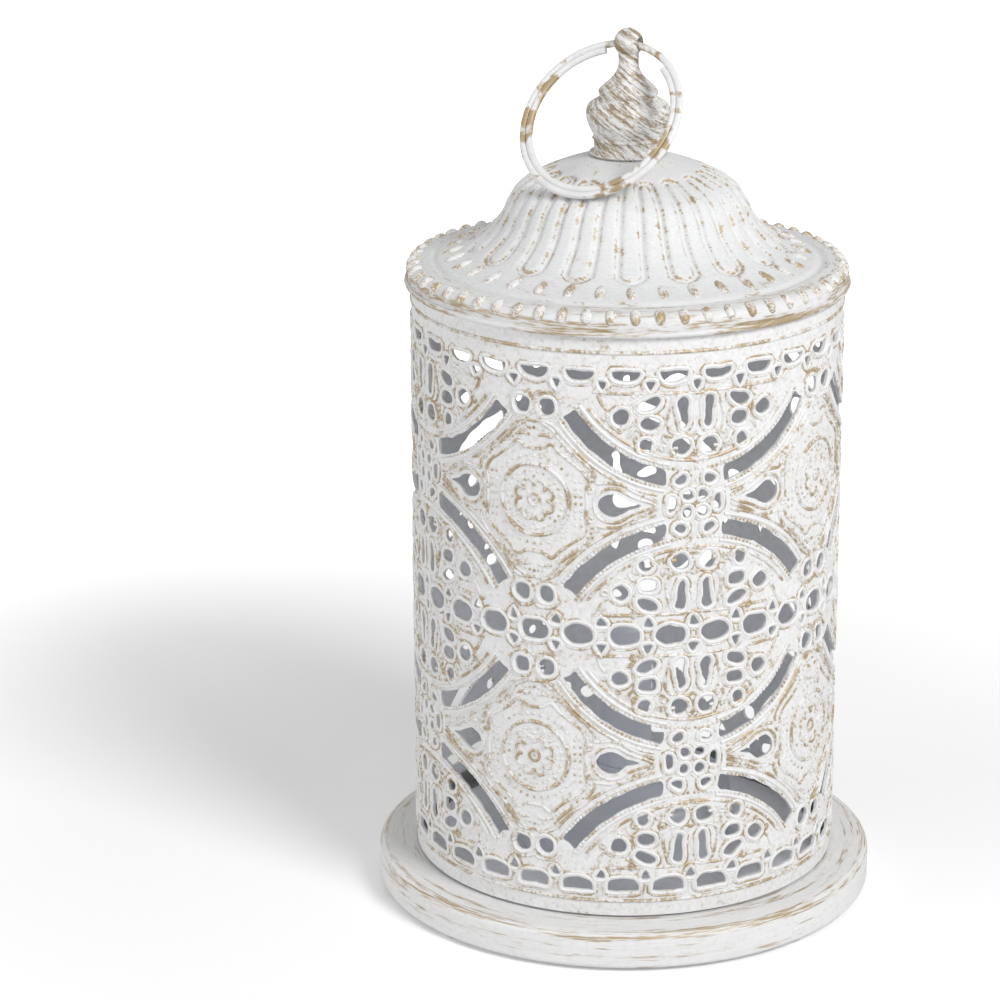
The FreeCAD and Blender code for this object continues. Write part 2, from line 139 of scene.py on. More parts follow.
def range_node(tree, value, start, end, low=0.0, high=1.0, kind="SMOOTHSTEP"):
    """Turns start to end of a value into low to high."""
    node = add_node(tree, "ShaderNodeMapRange", interpolation_type=kind)
    give_all(tree, node, {"Value": value, "From Min": start, "From Max": end, "To Min": low, "To Max": high})
    return node.outputs["Result"]


def mix_colors(tree, factor, first, second):
    node = add_node(tree, "ShaderNodeMix", data_type="RGBA")
    give_all(tree, node, {"Factor": factor, MIX_FIRST_COLOR: first, MIX_SECOND_COLOR: second})
    return node.outputs[MIX_COLOR_RESULT]

# %% [markdown]
# ## The paint effect
#
# Chalk paint brushed over gold leaves the metal bare in patches and streaks. Two
# noises, broad and fine, make the mask, and a painted attribute called "gilt" adds
# gold exactly where a piece has worn edges. Two more noises give the paint its grain
# and its lumps, and the low spots of the lumps are darkened to a brown tone, partly
# grime and partly painted shade in the pits. An image could do this too, but it would
# need unwrapping and would blur close up. A node group holds the recipe once, and
# each material gives it its own amounts.

# %% The worn paint node group
WHITE_PAINT = (0.77, 0.77, 0.77, 1.0)
# A little darker than the drum's white, as painted shade: the lid's upward faces catch more of the key lamp.
LID_WHITE_WITH_PAINTED_SHADE = (0.72, 0.725, 0.73, 1.0)
# Nearly white, as painted light: it makes the shaded inside of the drum and the pan look brighter than a grey
# sheet would.
LIGHTENED_INSIDE_COLOR = (0.94, 0.95, 0.975, 1.0)
# Brown tone for the lumps' low spots: partly grime, partly painted shade in the pits.
GRIME_AND_PIT_SHADE = (0.36, 0.31, 0.23, 1.0)
GOLD = (0.375, 0.285, 0.17, 1.0)
DARK_GOLD = (0.27, 0.20, 0.115, 1.0)
BROAD_DETAIL = 4.0
BROAD_WEIGHT = 0.55
FINE_DETAIL = 3.0
FINE_WEIGHT = 0.45
FINE_RATIO = 6.0
GRAIN_SCALE = 2600.0
GRAIN_DETAIL = 2.0
GRAIN_WEIGHT = 0.5
LUMP_SCALE = 620.0
LUMP_DETAIL = 2.5
GILT_WEIGHT = 0.3
BARE_LEVEL = 0.58
SHADE_LEVELS = (0.3, 0.7)
SHADE_TONES = (0.88, 1.0)
GRIME_AND_PIT_SHADE_LEVELS = (0.47, 0.33)
PAINT_ROUGHNESS = 0.62
BARE_SMOOTHNESS = 0.14
BARE_METALLIC = 0.22
SOCKETS = [
    ("INPUT", "NodeSocketVector", ("Vector", "Place")),
    ("INPUT", "NodeSocketColor", ("Paint", "Metal")),
    ("INPUT", "NodeSocketFloat", ("Bare", "Gilt", "Patch Scale", "Softness", "Grime And Pit Shade", "Lumps")),
    ("OUTPUT", "NodeSocketColor", ("Color",)),
    ("OUTPUT", "NodeSocketFloat", ("Roughness", "Metallic", "Height")),
]


def worn_paint_group():
    tree = bpy.data.node_groups.new("worn_paint", "ShaderNodeTree")
    for way, kind, names in SOCKETS:
        for name in names:
            tree.interface.new_socket(name, in_out=way, socket_type=kind)
    given = add_node(tree, "NodeGroupInput").outputs
    result = add_node(tree, "NodeGroupOutput")

    def plus(first, second):
        return math_node(tree, "ADD", first, second)

    def times(first, second):
        return math_node(tree, "MULTIPLY", first, second)

    broad = noise_node(tree, given["Vector"], given["Patch Scale"], BROAD_DETAIL)
    fine_scale = times(given["Patch Scale"], FINE_RATIO)
    fine = noise_node(tree, given["Vector"], fine_scale, FINE_DETAIL)
    grain = noise_node(tree, given["Place"], GRAIN_SCALE, GRAIN_DETAIL)
    lumps = noise_node(tree, given["Place"], LUMP_SCALE, LUMP_DETAIL)
    blotch = plus(times(broad, BROAD_WEIGHT), times(fine, FINE_WEIGHT))
    level = plus(plus(blotch, given["Bare"]), times(given["Gilt"], GILT_WEIGHT))
    bare = range_node(tree, level, BARE_LEVEL, plus(given["Softness"], BARE_LEVEL))
    shade = range_node(tree, fine, *SHADE_LEVELS, *SHADE_TONES, kind="LINEAR")
    dulled = vector_node(tree, "SCALE", given["Paint"], shade)
    # Darkens the paint where the lumps are low: grime together with painted shade in the pits.
    soiled_and_shaded = times(range_node(tree, lumps, *GRIME_AND_PIT_SHADE_LEVELS), given["Grime And Pit Shade"])
    paint = mix_colors(tree, soiled_and_shaded, dulled, GRIME_AND_PIT_SHADE)
    lift = math_node(tree, "SUBTRACT", times(grain, GRAIN_WEIGHT), bare)
    give_all(tree, result, {
        "Color": mix_colors(tree, bare, paint, given["Metal"]),
        "Roughness": math_node(tree, "SUBTRACT", PAINT_ROUGHNESS, times(bare, BARE_SMOOTHNESS)),
        "Metallic": times(bare, BARE_METALLIC),
        "Height": plus(lift, times(lumps, given["Lumps"])),
    })
    return tree


WORN_PAINT = worn_paint_group()
print("worn paint", len(WORN_PAINT.nodes), "nodes")

# %% [markdown]
# ## Painted materials
#
# Each painted finish is one Principled BSDF fed by the group. They differ only in how
# bare they are, how large their patches are and how far the pattern is stretched: a
# brush drawn round the base leaves long streaks, one drawn up the finial leaves
# slanting strokes, and a dabbed drum has blots. Stretching the coordinates is enough
# for that, so no second recipe is needed.

# %% Painted materials
STROKE_SLANT = math.radians(35)
PAINT_DEPTH = 0.12 * MM


def new_finish(name):
    """A new material, its node tree and its Principled BSDF."""
    material = bpy.data.materials.new(name)
    material.use_nodes = True
    tree = material.node_tree
    return material, tree, tree.nodes["Principled BSDF"]


def object_place(tree):
    return add_node(tree, "ShaderNodeTexCoord").outputs["Object"]


def raise_surface(tree, shader, height, strength, depth):
    lift = add_node(tree, "ShaderNodeBump")
    give_all(tree, lift, {"Height": height, "Strength": strength, "Distance": depth})
    tree.links.new(lift.outputs["Normal"], shader.inputs["Normal"])


def around_axis(tree, place, stretch):
    """Coordinates that run round the upright axis, so brush strokes circle the piece."""
    flat = vector_node(tree, "MULTIPLY", place, (1, 1, 0))
    circle = vector_node(tree, "SCALE", vector_node(tree, "NORMALIZE", flat), DRUM_RADIUS)
    split = add_node(tree, "ShaderNodeSeparateXYZ")
    tree.links.new(place, split.inputs[0])
    across = math_node(tree, "SUBTRACT", split.outputs["Z"], vector_node(tree, "LENGTH", flat))
    lifted = add_node(tree, "ShaderNodeCombineXYZ")
    tree.links.new(math_node(tree, "MULTIPLY", across, stretch), lifted.inputs["Z"])
    return vector_node(tree, "ADD", circle, lifted.outputs[0])


def slanting(tree, place, stretch):
    """Coordinates that are stretched along a slant."""
    along = add_node(tree, "ShaderNodeMapping", vector_type="TEXTURE")
    along.inputs["Rotation"].default_value = (0.0, STROKE_SLANT, 0.0)
    along.inputs["Scale"].default_value = stretch
    tree.links.new(place, along.inputs["Vector"])
    return along.outputs["Vector"]


def painted(name, bare, patch_scale, strokes=0.0, paint=WHITE_PAINT, metal=GOLD, bump=0.25,
            grime_and_pit_shade=0.0, lumps=0.0, softness=0.18):
    """Worn paint; strokes is one number for strokes round the axis, or three for slanting ones."""
    material, tree, shader = new_finish(name)
    place = object_place(tree)
    vector = place
    if strokes:
        vector = (slanting if isinstance(strokes, tuple) else around_axis)(tree, place, strokes)
    gilt = add_node(tree, "ShaderNodeAttribute", attribute_name="gilt").outputs["Fac"]
    worn = add_node(tree, "ShaderNodeGroup", node_tree=WORN_PAINT)
    give_all(tree, worn, {"Vector": vector, "Place": place, "Paint": paint, "Metal": metal, "Bare": bare,
                          "Gilt": gilt, "Patch Scale": patch_scale, "Softness": softness, "Grime And Pit Shade": grime_and_pit_shade,
                          "Lumps": lumps})
    given = worn.outputs
    give_all(tree, shader, {"Base Color": given["Color"], "Roughness": given["Roughness"],
                            "Metallic": given["Metallic"]})
    raise_surface(tree, shader, worn.outputs["Height"], bump, PAINT_DEPTH)
    return material


WALL_PAINT = painted("dabbed_wall_paint", 0.02, 130.0, bump=0.6, grime_and_pit_shade=0.22, lumps=3.0)
RIM_PAINT = painted("raised_rim_paint", 0.04, 150.0, grime_and_pit_shade=0.1, lumps=1.0)
EDGE_PAINT = painted("rubbed_edge_paint", 0.15, 170.0, softness=0.16)
BEAD_PAINT = painted("rubbed_bead_paint", 0.13, 190.0)
# The band takes the lid's darker white, painted shade.
BAND_PAINT = painted("rubbed_band_paint", 0.02, 36.0, 9.0, LID_WHITE_WITH_PAINTED_SHADE, grime_and_pit_shade=0.1, lumps=0.5, softness=0.12)
DROP_PAINT = painted("rubbed_drop_paint", 0.14, 260.0, softness=0.15)
BASE_PAINT = painted("brushed_base_paint", 0.034, 30.0, 16.0, grime_and_pit_shade=0.1, lumps=0.7, softness=0.11)
# The lid takes its darker white, painted shade on faces turned to the lamp.
LID_PAINT = painted("lid_paint", 0.0, 80.0, 2.5, LID_WHITE_WITH_PAINTED_SHADE, grime_and_pit_shade=0.05, lumps=0.5, softness=0.14)
FINIAL_PAINT = painted("finial_paint", 0.122, 120.0, (1.0, 1.0, 0.11), metal=DARK_GOLD, grime_and_pit_shade=0.5,
                       lumps=0.6, softness=0.12)
RING_PAINT = painted("ring_paint", 0.085, 38.0, softness=0.06)
# Painted light: the inside paint is lightened so the shaded inside looks brighter.
LIGHTENED_INNER_PAINT = painted("inside_paint_painted_light", -0.12, 90.0, paint=LIGHTENED_INSIDE_COLOR)
print(len(bpy.data.materials), "materials so far")

# %% [markdown]
# ## Plain materials
#
# The battery light inside is moulded plastic and plated metal. Nobody sees it closely,
# but a single flat colour looks false even behind slots, so one fine noise gives each
# finish a slight mottle in its colour, its roughness and its surface.

# %% Plain materials
MOTTLE_SCALE = 900.0
MOTTLE_DETAIL = 3.0
MOTTLE_SHADE = 0.86
MOTTLE_ROUGHNESS = 0.08
MOTTLE_DEPTH = 0.1 * MM


def plain(name, color, roughness, metallic=0.0, grain=0.05):
    """A moulded or plated finish with a slight mottle and a fine surface grain."""
    material, tree, shader = new_finish(name)
    mottle = noise_node(tree, object_place(tree), MOTTLE_SCALE, MOTTLE_DETAIL)
    dark = tuple(channel * MOTTLE_SHADE for channel in color) + (1.0,)
    uneven = math_node(tree, "MULTIPLY", mottle, MOTTLE_ROUGHNESS)
    give_all(tree, shader, {
        "Base Color": mix_colors(tree, mottle, dark, color + (1.0,)),
        "Roughness": math_node(tree, "ADD", roughness - MOTTLE_ROUGHNESS / 2, uneven),
        "Metallic": metallic,
    })
    raise_surface(tree, shader, mottle, grain, MOTTLE_DEPTH)
    return material


GREY_PLASTIC = plain("grey_plastic", (0.78, 0.80, 0.86), 0.5)
FROSTED = plain("frosted_plastic", (0.78, 0.80, 0.87), 0.38)
DARK_PLASTIC = plain("dark_plastic", (0.02, 0.02, 0.022), 0.45)
PAD_RUBBER = plain("pad_rubber", (0.62, 0.62, 0.61), 0.6, grain=0.3)
# Dark grey as painted shadow: seen through the gap under the drum's foot, the collar makes a dark contact
# line.
COLLAR_PAINTED_SHADOW = plain("collar_painted_shadow", (0.27, 0.27, 0.275), 0.6, 0.2)
STEEL = plain("plated_steel", (0.55, 0.55, 0.56), 0.3, 1.0)
CELL_WRAP = plain("cell_wrap", (0.16, 0.17, 0.20), 0.35, 0.4)
BOARD_GREEN = plain("board_green", (0.02, 0.12, 0.05), 0.45)
LAMP_RESIN = plain("lamp_resin", (0.80, 0.72, 0.50), 0.15)
print(len(bpy.data.materials), "materials in all")

# %% [markdown]
# ## From bmesh to piece
#
# Every visible piece ends the same way: normals out, smooth shading with the true
# edges kept sharp, a material, a body to ride on, and the CAD node it stands for.
# One function does it, so that no piece can miss a step. Turned shapes are spun from
# half a section, and soft outlines are drawn through a few places.

# %% Finish a piece
SHARP_ANGLE = math.radians(38)


def add_object(name, data):
    made = bpy.data.objects.new(name, data)
    bpy.context.scene.collection.objects.link(made)
    return made


def finish(bm, name, body, material, replaced=(), recalc=True):
    if recalc:
        bmesh.ops.recalc_face_normals(bm, faces=bm.faces)
    mesh = bpy.data.meshes.new(name)
    bm.to_mesh(mesh)
    bm.free()
    mesh.polygons.foreach_set("use_smooth", [True] * len(mesh.polygons))
    mesh.set_sharp_from_angle(angle=SHARP_ANGLE)
    piece = add_object(name, mesh)
    mesh.materials.append(material)
    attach(piece, body)
    if replaced:
        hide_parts(*replaced)
    print(name, len(mesh.vertices), "vertices")
    return piece


def refinish(piece, material, chosen):
    """Gives a second finish to the faces that chosen picks by their centre and normal."""
    piece.data.materials.append(material)
    for polygon in piece.data.polygons:
        if chosen(polygon.center, polygon.normal):
            polygon.material_index = 1


def reach(place):
    """How far a place is from the upright axis."""
    return math.hypot(place.x, place.y)

# %% Outlines and turned shapes
def spun(outline, steps, closed=True):
    """A bmesh turned about the upright axis from (radius, height) places."""
    bm = bmesh.new()
    verts = [bm.verts.new((radius, 0.0, height)) for radius, height in outline]
    pairs = list(zip(verts, verts[1:]))
    if closed:
        pairs.append((verts[-1], verts[0]))
    edges = [bm.edges.new(pair) for pair in pairs]
    bmesh.ops.spin(bm, geom=verts + edges, cent=(0, 0, 0), axis=UP, angle=FULL_TURN, steps=steps,
                   use_merge=True, use_normal_flip=False, use_duplicate=False)
    bmesh.ops.remove_doubles(bm, verts=bm.verts, dist=MERGE_DISTANCE)
    return bm


def arc_line(centre, radius, start, end, steps):
    """Places along an arc; angles in degrees from the first axis towards the second."""
    places = []
    for i in range(steps + 1):
        angle = math.radians(start + (end - start) * i / steps)
        places.append((centre[0] + radius * math.cos(angle), centre[1] + radius * math.sin(angle)))
    return places


def smooth_line(points, steps, closed=False):
    """A Catmull-Rom line through a few places, for shapes with no hard corners."""
    count = len(points)
    spans = count if closed else count - 1
    line = []
    for i in range(spans):
        around = [points[(i + k) % count] if closed else points[min(max(i + k, 0), count - 1)]
                  for k in (-1, 0, 1, 2)]
        for j in range(steps):
            t = j / steps
            weights = (-t + 2 * t * t - t ** 3, 2 - 5 * t * t + 3 * t ** 3,
                       t + 4 * t * t - 3 * t ** 3, t ** 3 - t * t)
            line.append(tuple(sum(w * p[axis] for w, p in zip(weights, around)) / 2 for axis in (0, 1)))
    if not closed:
        line.append(tuple(points[-1]))
    return line

# %% [markdown]
# ## The base
#
# The base is a shallow pan pressed from one sheet. It could be an extruded disc with
# bevels, but a spin of its half section gives the rolled top edge and the lip that is
# turned in underneath in one go. The brush has rubbed its top edge, so that gets gilt.

# %% Base pan
ROUND_TURN = 192
BASE_SHEET = 1.0 * MM
TOP_ROUND = 2.6 * MM
FOOT_ROUND = 1.8 * MM
LIP_WIDTH = 9.0 * MM
FLAT_SHARE = 0.92
CORNER_STEPS = 8
INSIDE_STEPS = 4
BASE_GILT = 0.28
top_centre = (BASE_RADIUS - TOP_ROUND, BASE_TOP - TOP_ROUND)
foot_centre = (BASE_RADIUS - FOOT_ROUND, BASE_FOOT + FOOT_ROUND)
lip_edge = BASE_RADIUS - LIP_WIDTH
section = [(0.0, BASE_TOP), (DRUM_RADIUS - SHEET, BASE_TOP), (FLAT_SHARE * BASE_RADIUS, BASE_TOP)]
section += arc_line(top_centre, TOP_ROUND, 90, 0, CORNER_STEPS)
section += arc_line(foot_centre, FOOT_ROUND, 0, -90, CORNER_STEPS)
section += [(lip_edge, BASE_FOOT), (lip_edge, BASE_FOOT + BASE_SHEET)]
section += arc_line(foot_centre, FOOT_ROUND - BASE_SHEET, -90, 0, INSIDE_STEPS)
section += arc_line(top_centre, TOP_ROUND - BASE_SHEET, 0, 90, INSIDE_STEPS)
section.append((0.0, BASE_TOP - BASE_SHEET))
base_mesh = spun(section, ROUND_TURN, closed=False)
base_gilt = base_mesh.verts.layers.float.new("gilt")
for vert in base_mesh.verts:
    on_edge = reach(vert.co) > BASE_RADIUS - TOP_ROUND and vert.co.z > BASE_TOP - TOP_ROUND
    vert[base_gilt] = BASE_GILT if on_edge else 0.0
base = finish(base_mesh, "base_pan_spun", "base", BASE_PAINT, ["base_pan"])
# The pan's top inside the drum takes the lightened inside paint, painted light in its shade.
refinish(base, LIGHTENED_INNER_PAINT, lambda centre, normal: reach(centre) < DRUM_RADIUS - SHEET and normal.z > 0)

# %% [markdown]
# ## The pierced pattern
#
# The pattern repeats every seven ovals and mirrors about each dome, so every opening
# is drawn once as an outline in shares of the drum's radius: sideways from a dome's
# centre line, and up from a band of ovals. Mirrored and repeated, the outlines fill
# a flat strip that is later rolled into the drum. Boolean cuts through a finished
# drum would work too, but hundreds of them are slow and leave poor faces.

# %% Outlines of the pattern
OVAL_COUNT = 30
OVAL_TURN = FULL_TURN / OVAL_COUNT
REPEAT = 7 * OVAL_TURN
PATTERN_TURN = math.radians(18.0)
SEAM = -14.5 * OVAL_TURN
BAND_CENTRE_SHARE = -0.183
BAND_SHARES = (0.645, 0.722)
BAND_CUT_SHARE = 0.132
BAND_END = math.radians(33.5)
BAND_NOTCH = 0.014
BAND_STEPS = 14


def oval(centre, half_width, half_height, turn=0.0, steps=20, squareness=2.0):
    places = []
    power = 2.0 / squareness
    for i in range(steps):
        angle = FULL_TURN * i / steps
        c = math.cos(angle)
        s = math.sin(angle)
        x = half_width * math.copysign(abs(c) ** power, c)
        y = half_height * math.copysign(abs(s) ** power, s)
        places.append((centre[0] + x * math.cos(turn) - y * math.sin(turn),
                       centre[1] + x * math.sin(turn) + y * math.cos(turn)))
    return places


def mirrored(places, side, way):
    return [(side * x, way * y) for x, y in places]


def leaf(start, upper_shares, end):
    """A closed outline along the first axis, from its tips and its upper half."""
    lower_shares = mirrored(upper_shares[::-1], 1, -1)
    return smooth_line([(start, 0.0)] + upper_shares + [(end, 0.0)] + lower_shares, 2, closed=True)


def softened(line):
    """Cuts every corner of a closed outline at a quarter of its sides."""
    cut = []
    for first, last in zip(line, line[1:] + line[:1]):
        cut.append(tuple(0.75 * a + 0.25 * b for a, b in zip(first, last)))
        cut.append(tuple(0.25 * a + 0.75 * b for a, b in zip(first, last)))
    return cut


def band_outline():
    """The wide curved slot, with softened corners."""
    inner, outer = BAND_SHARES
    inner_end = math.acos(BAND_CUT_SHARE / inner)
    outer_end = math.acos(BAND_CUT_SHARE / outer)
    steps = range(BAND_STEPS + 1)
    round_the_slot = [(inner, inner_end + (BAND_END - inner_end) * i / BAND_STEPS) for i in steps]
    round_the_slot.append((0.5 * (inner + outer), BAND_END + BAND_NOTCH))
    round_the_slot += [(outer, BAND_END + (outer_end - BAND_END) * i / BAND_STEPS) for i in steps]
    places = [(radius * math.cos(angle), BAND_CENTRE_SHARE + radius * math.sin(angle))
              for radius, angle in round_the_slot]
    return softened(softened(places))

# %% [markdown]
# ## The openings
#
# Each row of a table is one oval opening: its centre, half width and half height, its
# slant in degrees and how square its corners are. The odd shapes are smooth lines
# through a few places, because an oval can't have a waist or a point.

# %% Openings of one dome
DOME_OVAL_SHARES = [((0.212, 0.147), 0.050, 0.026, 24, 2.0), ((0.209, 0.236), 0.040, 0.030, 0, 2.4),
                    ((0.223, 0.337), 0.027, 0.031, 0, 2.0), ((0.335, 0.205), 0.037, 0.035, 0, 2.0),
                    ((0.065, 0.345), 0.040, 0.037, 0, 2.0)]
SLIT_SHARES = [(0.049, 0.258), (0.036, 0.240), (0.041, 0.205), (0.040, 0.175), (0.036, 0.145),
               (0.048, 0.120), (0.072, 0.118), (0.088, 0.140), (0.080, 0.168), (0.076, 0.198),
               (0.071, 0.235), (0.062, 0.258)]
EYE_CENTRE_SHARE = (0.0593, 0.176)
EYE_SHARES = (0.037, 0.038)
SPADE_END_SHARES = (0.298, 0.489)
SPADE_SHARES = [(0.300, 0.014), (0.312, 0.036), (0.342, 0.052), (0.378, 0.052), (0.408, 0.036),
                (0.432, 0.019), (0.462, 0.010)]
CROSS_OVAL_SHARES = ((0.036, 0.040), 0.021, 0.022)
CROSS_CORNER_SHARES = [(0.048, 0.100), (0.044, 0.124), (0.060, 0.138), (0.092, 0.112), (0.078, 0.094)]
CROSS_SIDE_SHARES = [(0.088, 0.0), (0.092, 0.024), (0.112, 0.036), (0.121, 0.02), (0.121, -0.02),
                     (0.112, -0.036), (0.092, -0.024)]
NOOK_SHARES = [(0.0, -0.020), (0.018, 0.008), (0.020, 0.020), (0.0, 0.024), (-0.020, 0.020), (-0.018, 0.008)]
dome_holes = [oval(centre, wide, high, math.radians(turn), squareness=square)
              for centre, wide, high, turn, square in DOME_OVAL_SHARES]
dome_holes += [smooth_line(SLIT_SHARES, 2, closed=True), band_outline()]
eye = oval(EYE_CENTRE_SHARE, *EYE_SHARES, squareness=2.3)
spade = leaf(SPADE_END_SHARES[0], SPADE_SHARES, SPADE_END_SHARES[1])
cross_holes = [oval(*CROSS_OVAL_SHARES), smooth_line(CROSS_CORNER_SHARES, 3, closed=True)]
cross_side = smooth_line(CROSS_SIDE_SHARES, 2, closed=True)
nook = smooth_line(NOOK_SHARES, 2, closed=True)
print(len(dome_holes), "openings in half a dome")

# %% [markdown]
# ## Lay the openings out on the strip
#
# Four half rows of domes stand on three bands of ovals. The two outer bands keep only
# part of each oval, as the maker's rollers cut them. What would cross the seam at the
# back is left out, because the sheet's two ends are joined there. Noise shifts every
# place a little, as a worn die does, and a seed keeps that the same on each run.

# %% All openings, in metres along the strip
ROWS = [(MIDDLE_ROW - ROW_PITCH, 1), (MIDDLE_ROW, -1), (MIDDLE_ROW, 1), (MIDDLE_ROW + ROW_PITCH, -1)]
FIELDS = [MIDDLE_ROW - ROW_PITCH / 2, MIDDLE_ROW + ROW_PITCH / 2]
DOME_TURNS = [PATTERN_TURN + REPEAT * k for k in range(-4, 5)]
SEAM_MARGIN = OVAL_TURN / 7
OVAL_SHARES = (0.0716, 0.045)
WHOLE_GROWTH = (0.94, 1.04)
TOP_NARROWING = 0.88
FOOT_CUT = 0.42
TOP_CUT = 0.05
NOOK_RISE_SHARE = 0.065
WOBBLE = 0.50 * MM
WOBBLE_LENGTH = 3.2 * MM
WOBBLE_SEED = 1


def on_strip(places, turn, height, cut=False):
    """Turns shares into metres along the strip; cut keeps what the seam leaves of a line."""
    line = [(DRUM_RADIUS * (turn + x), height + DRUM_RADIUS * y) for x, y in places]
    low = DRUM_RADIUS * (SEAM + SEAM_MARGIN)
    high = DRUM_RADIUS * (SEAM + FULL_TURN - SEAM_MARGIN)
    inside = [place for place in line if low < place[0] < high]
    if cut:
        return inside if len(inside) > 2 else None
    return line if len(inside) == len(line) else None


def lay_out(cut=False, dome=(), eye=(), field=(), cross=(), cross_side=()):
    """Places each kind of outline wherever the pattern has it."""
    laid = []
    for turn in DOME_TURNS:
        between = turn + REPEAT / 2
        for side in (-1, 1):
            for height, way in ROWS:
                laid += [(shape, side, way, turn, height) for shape in dome]
                laid += [(shape, side, way, between, height) for shape in eye]
            for height in FIELDS:
                laid += [(shape, side, 1, between, height) for shape in field]
                laid += [(shape, side, way, turn, height) for shape in cross for way in (-1, 1)]
                laid += [(shape, side, 1, turn, height) for shape in cross_side]
    lines = [on_strip(mirrored(shape, side, way), turn, height, cut)
             for shape, side, way, turn, height in laid]
    return [line for line in lines if line]


def oval_bands():
    """The three bands of ovals: part of each at the foot and top, and whole ones in the middle."""
    wide, high = OVAL_SHARES
    whole = oval((0, 0), WHOLE_GROWTH[0] * wide, WHOLE_GROWTH[1] * high, squareness=2.3)
    foot_part = [(x, -min(y, FOOT_CUT * high)) for x, y in oval((0, 0), wide, high, squareness=2.6)]
    top_oval = oval((0, 0), TOP_NARROWING * wide, high, squareness=2.4)
    top_part = [(x, min(y, TOP_CUT * high)) for x, y in top_oval]
    laid = []
    for i in range(OVAL_COUNT):
        turn = SEAM + OVAL_TURN * (i + 0.5)
        laid.append(on_strip(whole, turn, MIDDLE_ROW))
        laid.append(on_strip(top_part, turn, MIDDLE_ROW + ROW_PITCH))
        laid.append(on_strip(foot_part, turn, MIDDLE_ROW - ROW_PITCH))
    return [line for line in laid if line]


def nooks():
    """The small three-cornered openings between the ovals."""
    laid = [on_strip([(x, way * (NOOK_RISE_SHARE - y)) for x, y in nook], SEAM + OVAL_TURN * i, height)
            for i in range(OVAL_COUNT) for height, way in ROWS]
    return [line for line in laid if line]


def hand_cut(line):
    """Shifts each place a little, so that no two openings are quite alike."""
    moved = []
    for place in line:
        shift = noise.noise_vector(Vector((place[0], place[1], 0)) / WOBBLE_LENGTH) * WOBBLE
        moved.append((place[0] + shift.x, place[1] + shift.y))
    return moved


noise.seed_set(WOBBLE_SEED)
openings = lay_out(dome=dome_holes, eye=[eye], field=[spade], cross=cross_holes,
                   cross_side=[cross_side])
openings = [hand_cut(line) for line in openings + oval_bands() + nooks()]
print(len(openings), "openings")

# %% [markdown]
# ## Roll the drum
#
# A flat strip with holes is easiest to fill while it is flat: the outlines become
# edge loops and triangle_fill closes the sheet between them. Bisecting the strip at
# even steps gives it the edges that it needs to bend. Rolling is then one formula,
# dissolve_limit takes out the cuts that the bend doesn't need, and extruding the
# sheet towards the axis gives the wall its thickness.

# %% Drum wall
BEND_STEPS = 160
HEM_GAP = 0.8 * MM
CUT_DISTANCE = 0.002 * MM
SEAM_MERGE = 0.003 * MM
FACES_TRIED = 200
INWARD_SHARE = 0.8


def roll(place, radius):
    """Wraps a place on the strip, x along and y up, round the upright axis."""
    turn = place[0] / DRUM_RADIUS
    return Vector((radius * math.sin(turn), -radius * math.cos(turn), place[1]))


def drum_wall():
    bm = bmesh.new()
    low = DRUM_RADIUS * SEAM
    high = DRUM_RADIUS * (SEAM + FULL_TURN)
    foot = DRUM_FOOT + HEM_GAP
    edges = []
    for line in [[(low, foot), (high, foot), (high, DRUM_TOP), (low, DRUM_TOP)]] + openings:
        verts = [bm.verts.new((x, y, 0)) for x, y in line]
        edges += [bm.edges.new(pair) for pair in zip(verts, verts[1:] + verts[:1])]
    bmesh.ops.triangle_fill(bm, use_beauty=False, use_dissolve=False, edges=edges, normal=(0, 0, 1))
    for i in range(1, BEND_STEPS):
        place = low + (high - low) * i / BEND_STEPS
        bmesh.ops.bisect_plane(bm, geom=bm.verts[:] + bm.edges[:] + bm.faces[:], dist=CUT_DISTANCE,
                               plane_co=(place, 0, 0), plane_no=(1, 0, 0))
    for vert in bm.verts:
        vert.co = roll(vert.co, DRUM_RADIUS)
    bmesh.ops.remove_doubles(bm, verts=bm.verts, dist=SEAM_MERGE)
    bmesh.ops.dissolve_limit(bm, angle_limit=math.pi / BEND_STEPS, verts=bm.verts, edges=bm.edges,
                             use_dissolve_boundaries=False)
    bmesh.ops.recalc_face_normals(bm, faces=bm.faces)
    outer = bm.faces[:]
    if sum(face.normal.dot(face.calc_center_median()) for face in outer[:FACES_TRIED]) < 0:
        bmesh.ops.reverse_faces(bm, faces=outer)
    made = bmesh.ops.extrude_face_region(bm, geom=outer, use_keep_orig=True)
    inner = (DRUM_RADIUS - SHEET) / DRUM_RADIUS
    inner_verts = [item for item in made["geom"] if isinstance(item, bmesh.types.BMVert)]
    bmesh.ops.scale(bm, vec=(inner, inner, 1), verts=inner_verts)
    return bm


def faces_axis(centre, normal):
    outward = normal.x * centre.x + normal.y * centre.y
    return outward < -INWARD_SHARE * (DRUM_RADIUS - SHEET)


wall = finish(drum_wall(), "pierced_wall", "shade", WALL_PAINT, ["pierced_drum"])
# The wall's inner faces take the lightened inside paint, painted light in the drum's shade.
refinish(wall, LIGHTENED_INNER_PAINT, faces_axis)

# %% [markdown]
# ## Raised outlines
#
# The press leaves a soft bead round every opening, and the brush rubs it gold. Each
# outline is drawn again, a little larger, as a thin round wire that lies half sunk in
# the wall. Bevelling the wall's own edges would need far more faces. A bevelled curve
# makes all wires in one piece, and noise in its radius keeps them from looking drawn.

# %% Wires on the wall
RIM_RADIUS = 0.75 * MM
RIM_GROWTH = 0.70 * MM
RIM_SINK = 0.22 * MM
THIN_RADIUS = 0.40 * MM
THIN_GROWTH = 1.50 * MM
THIN_SINK = 0.08 * MM
RADIUS_NOISE = 0.35
KEPT_SHEET = 0.7
ROUND_HOLE_PLACES = 24


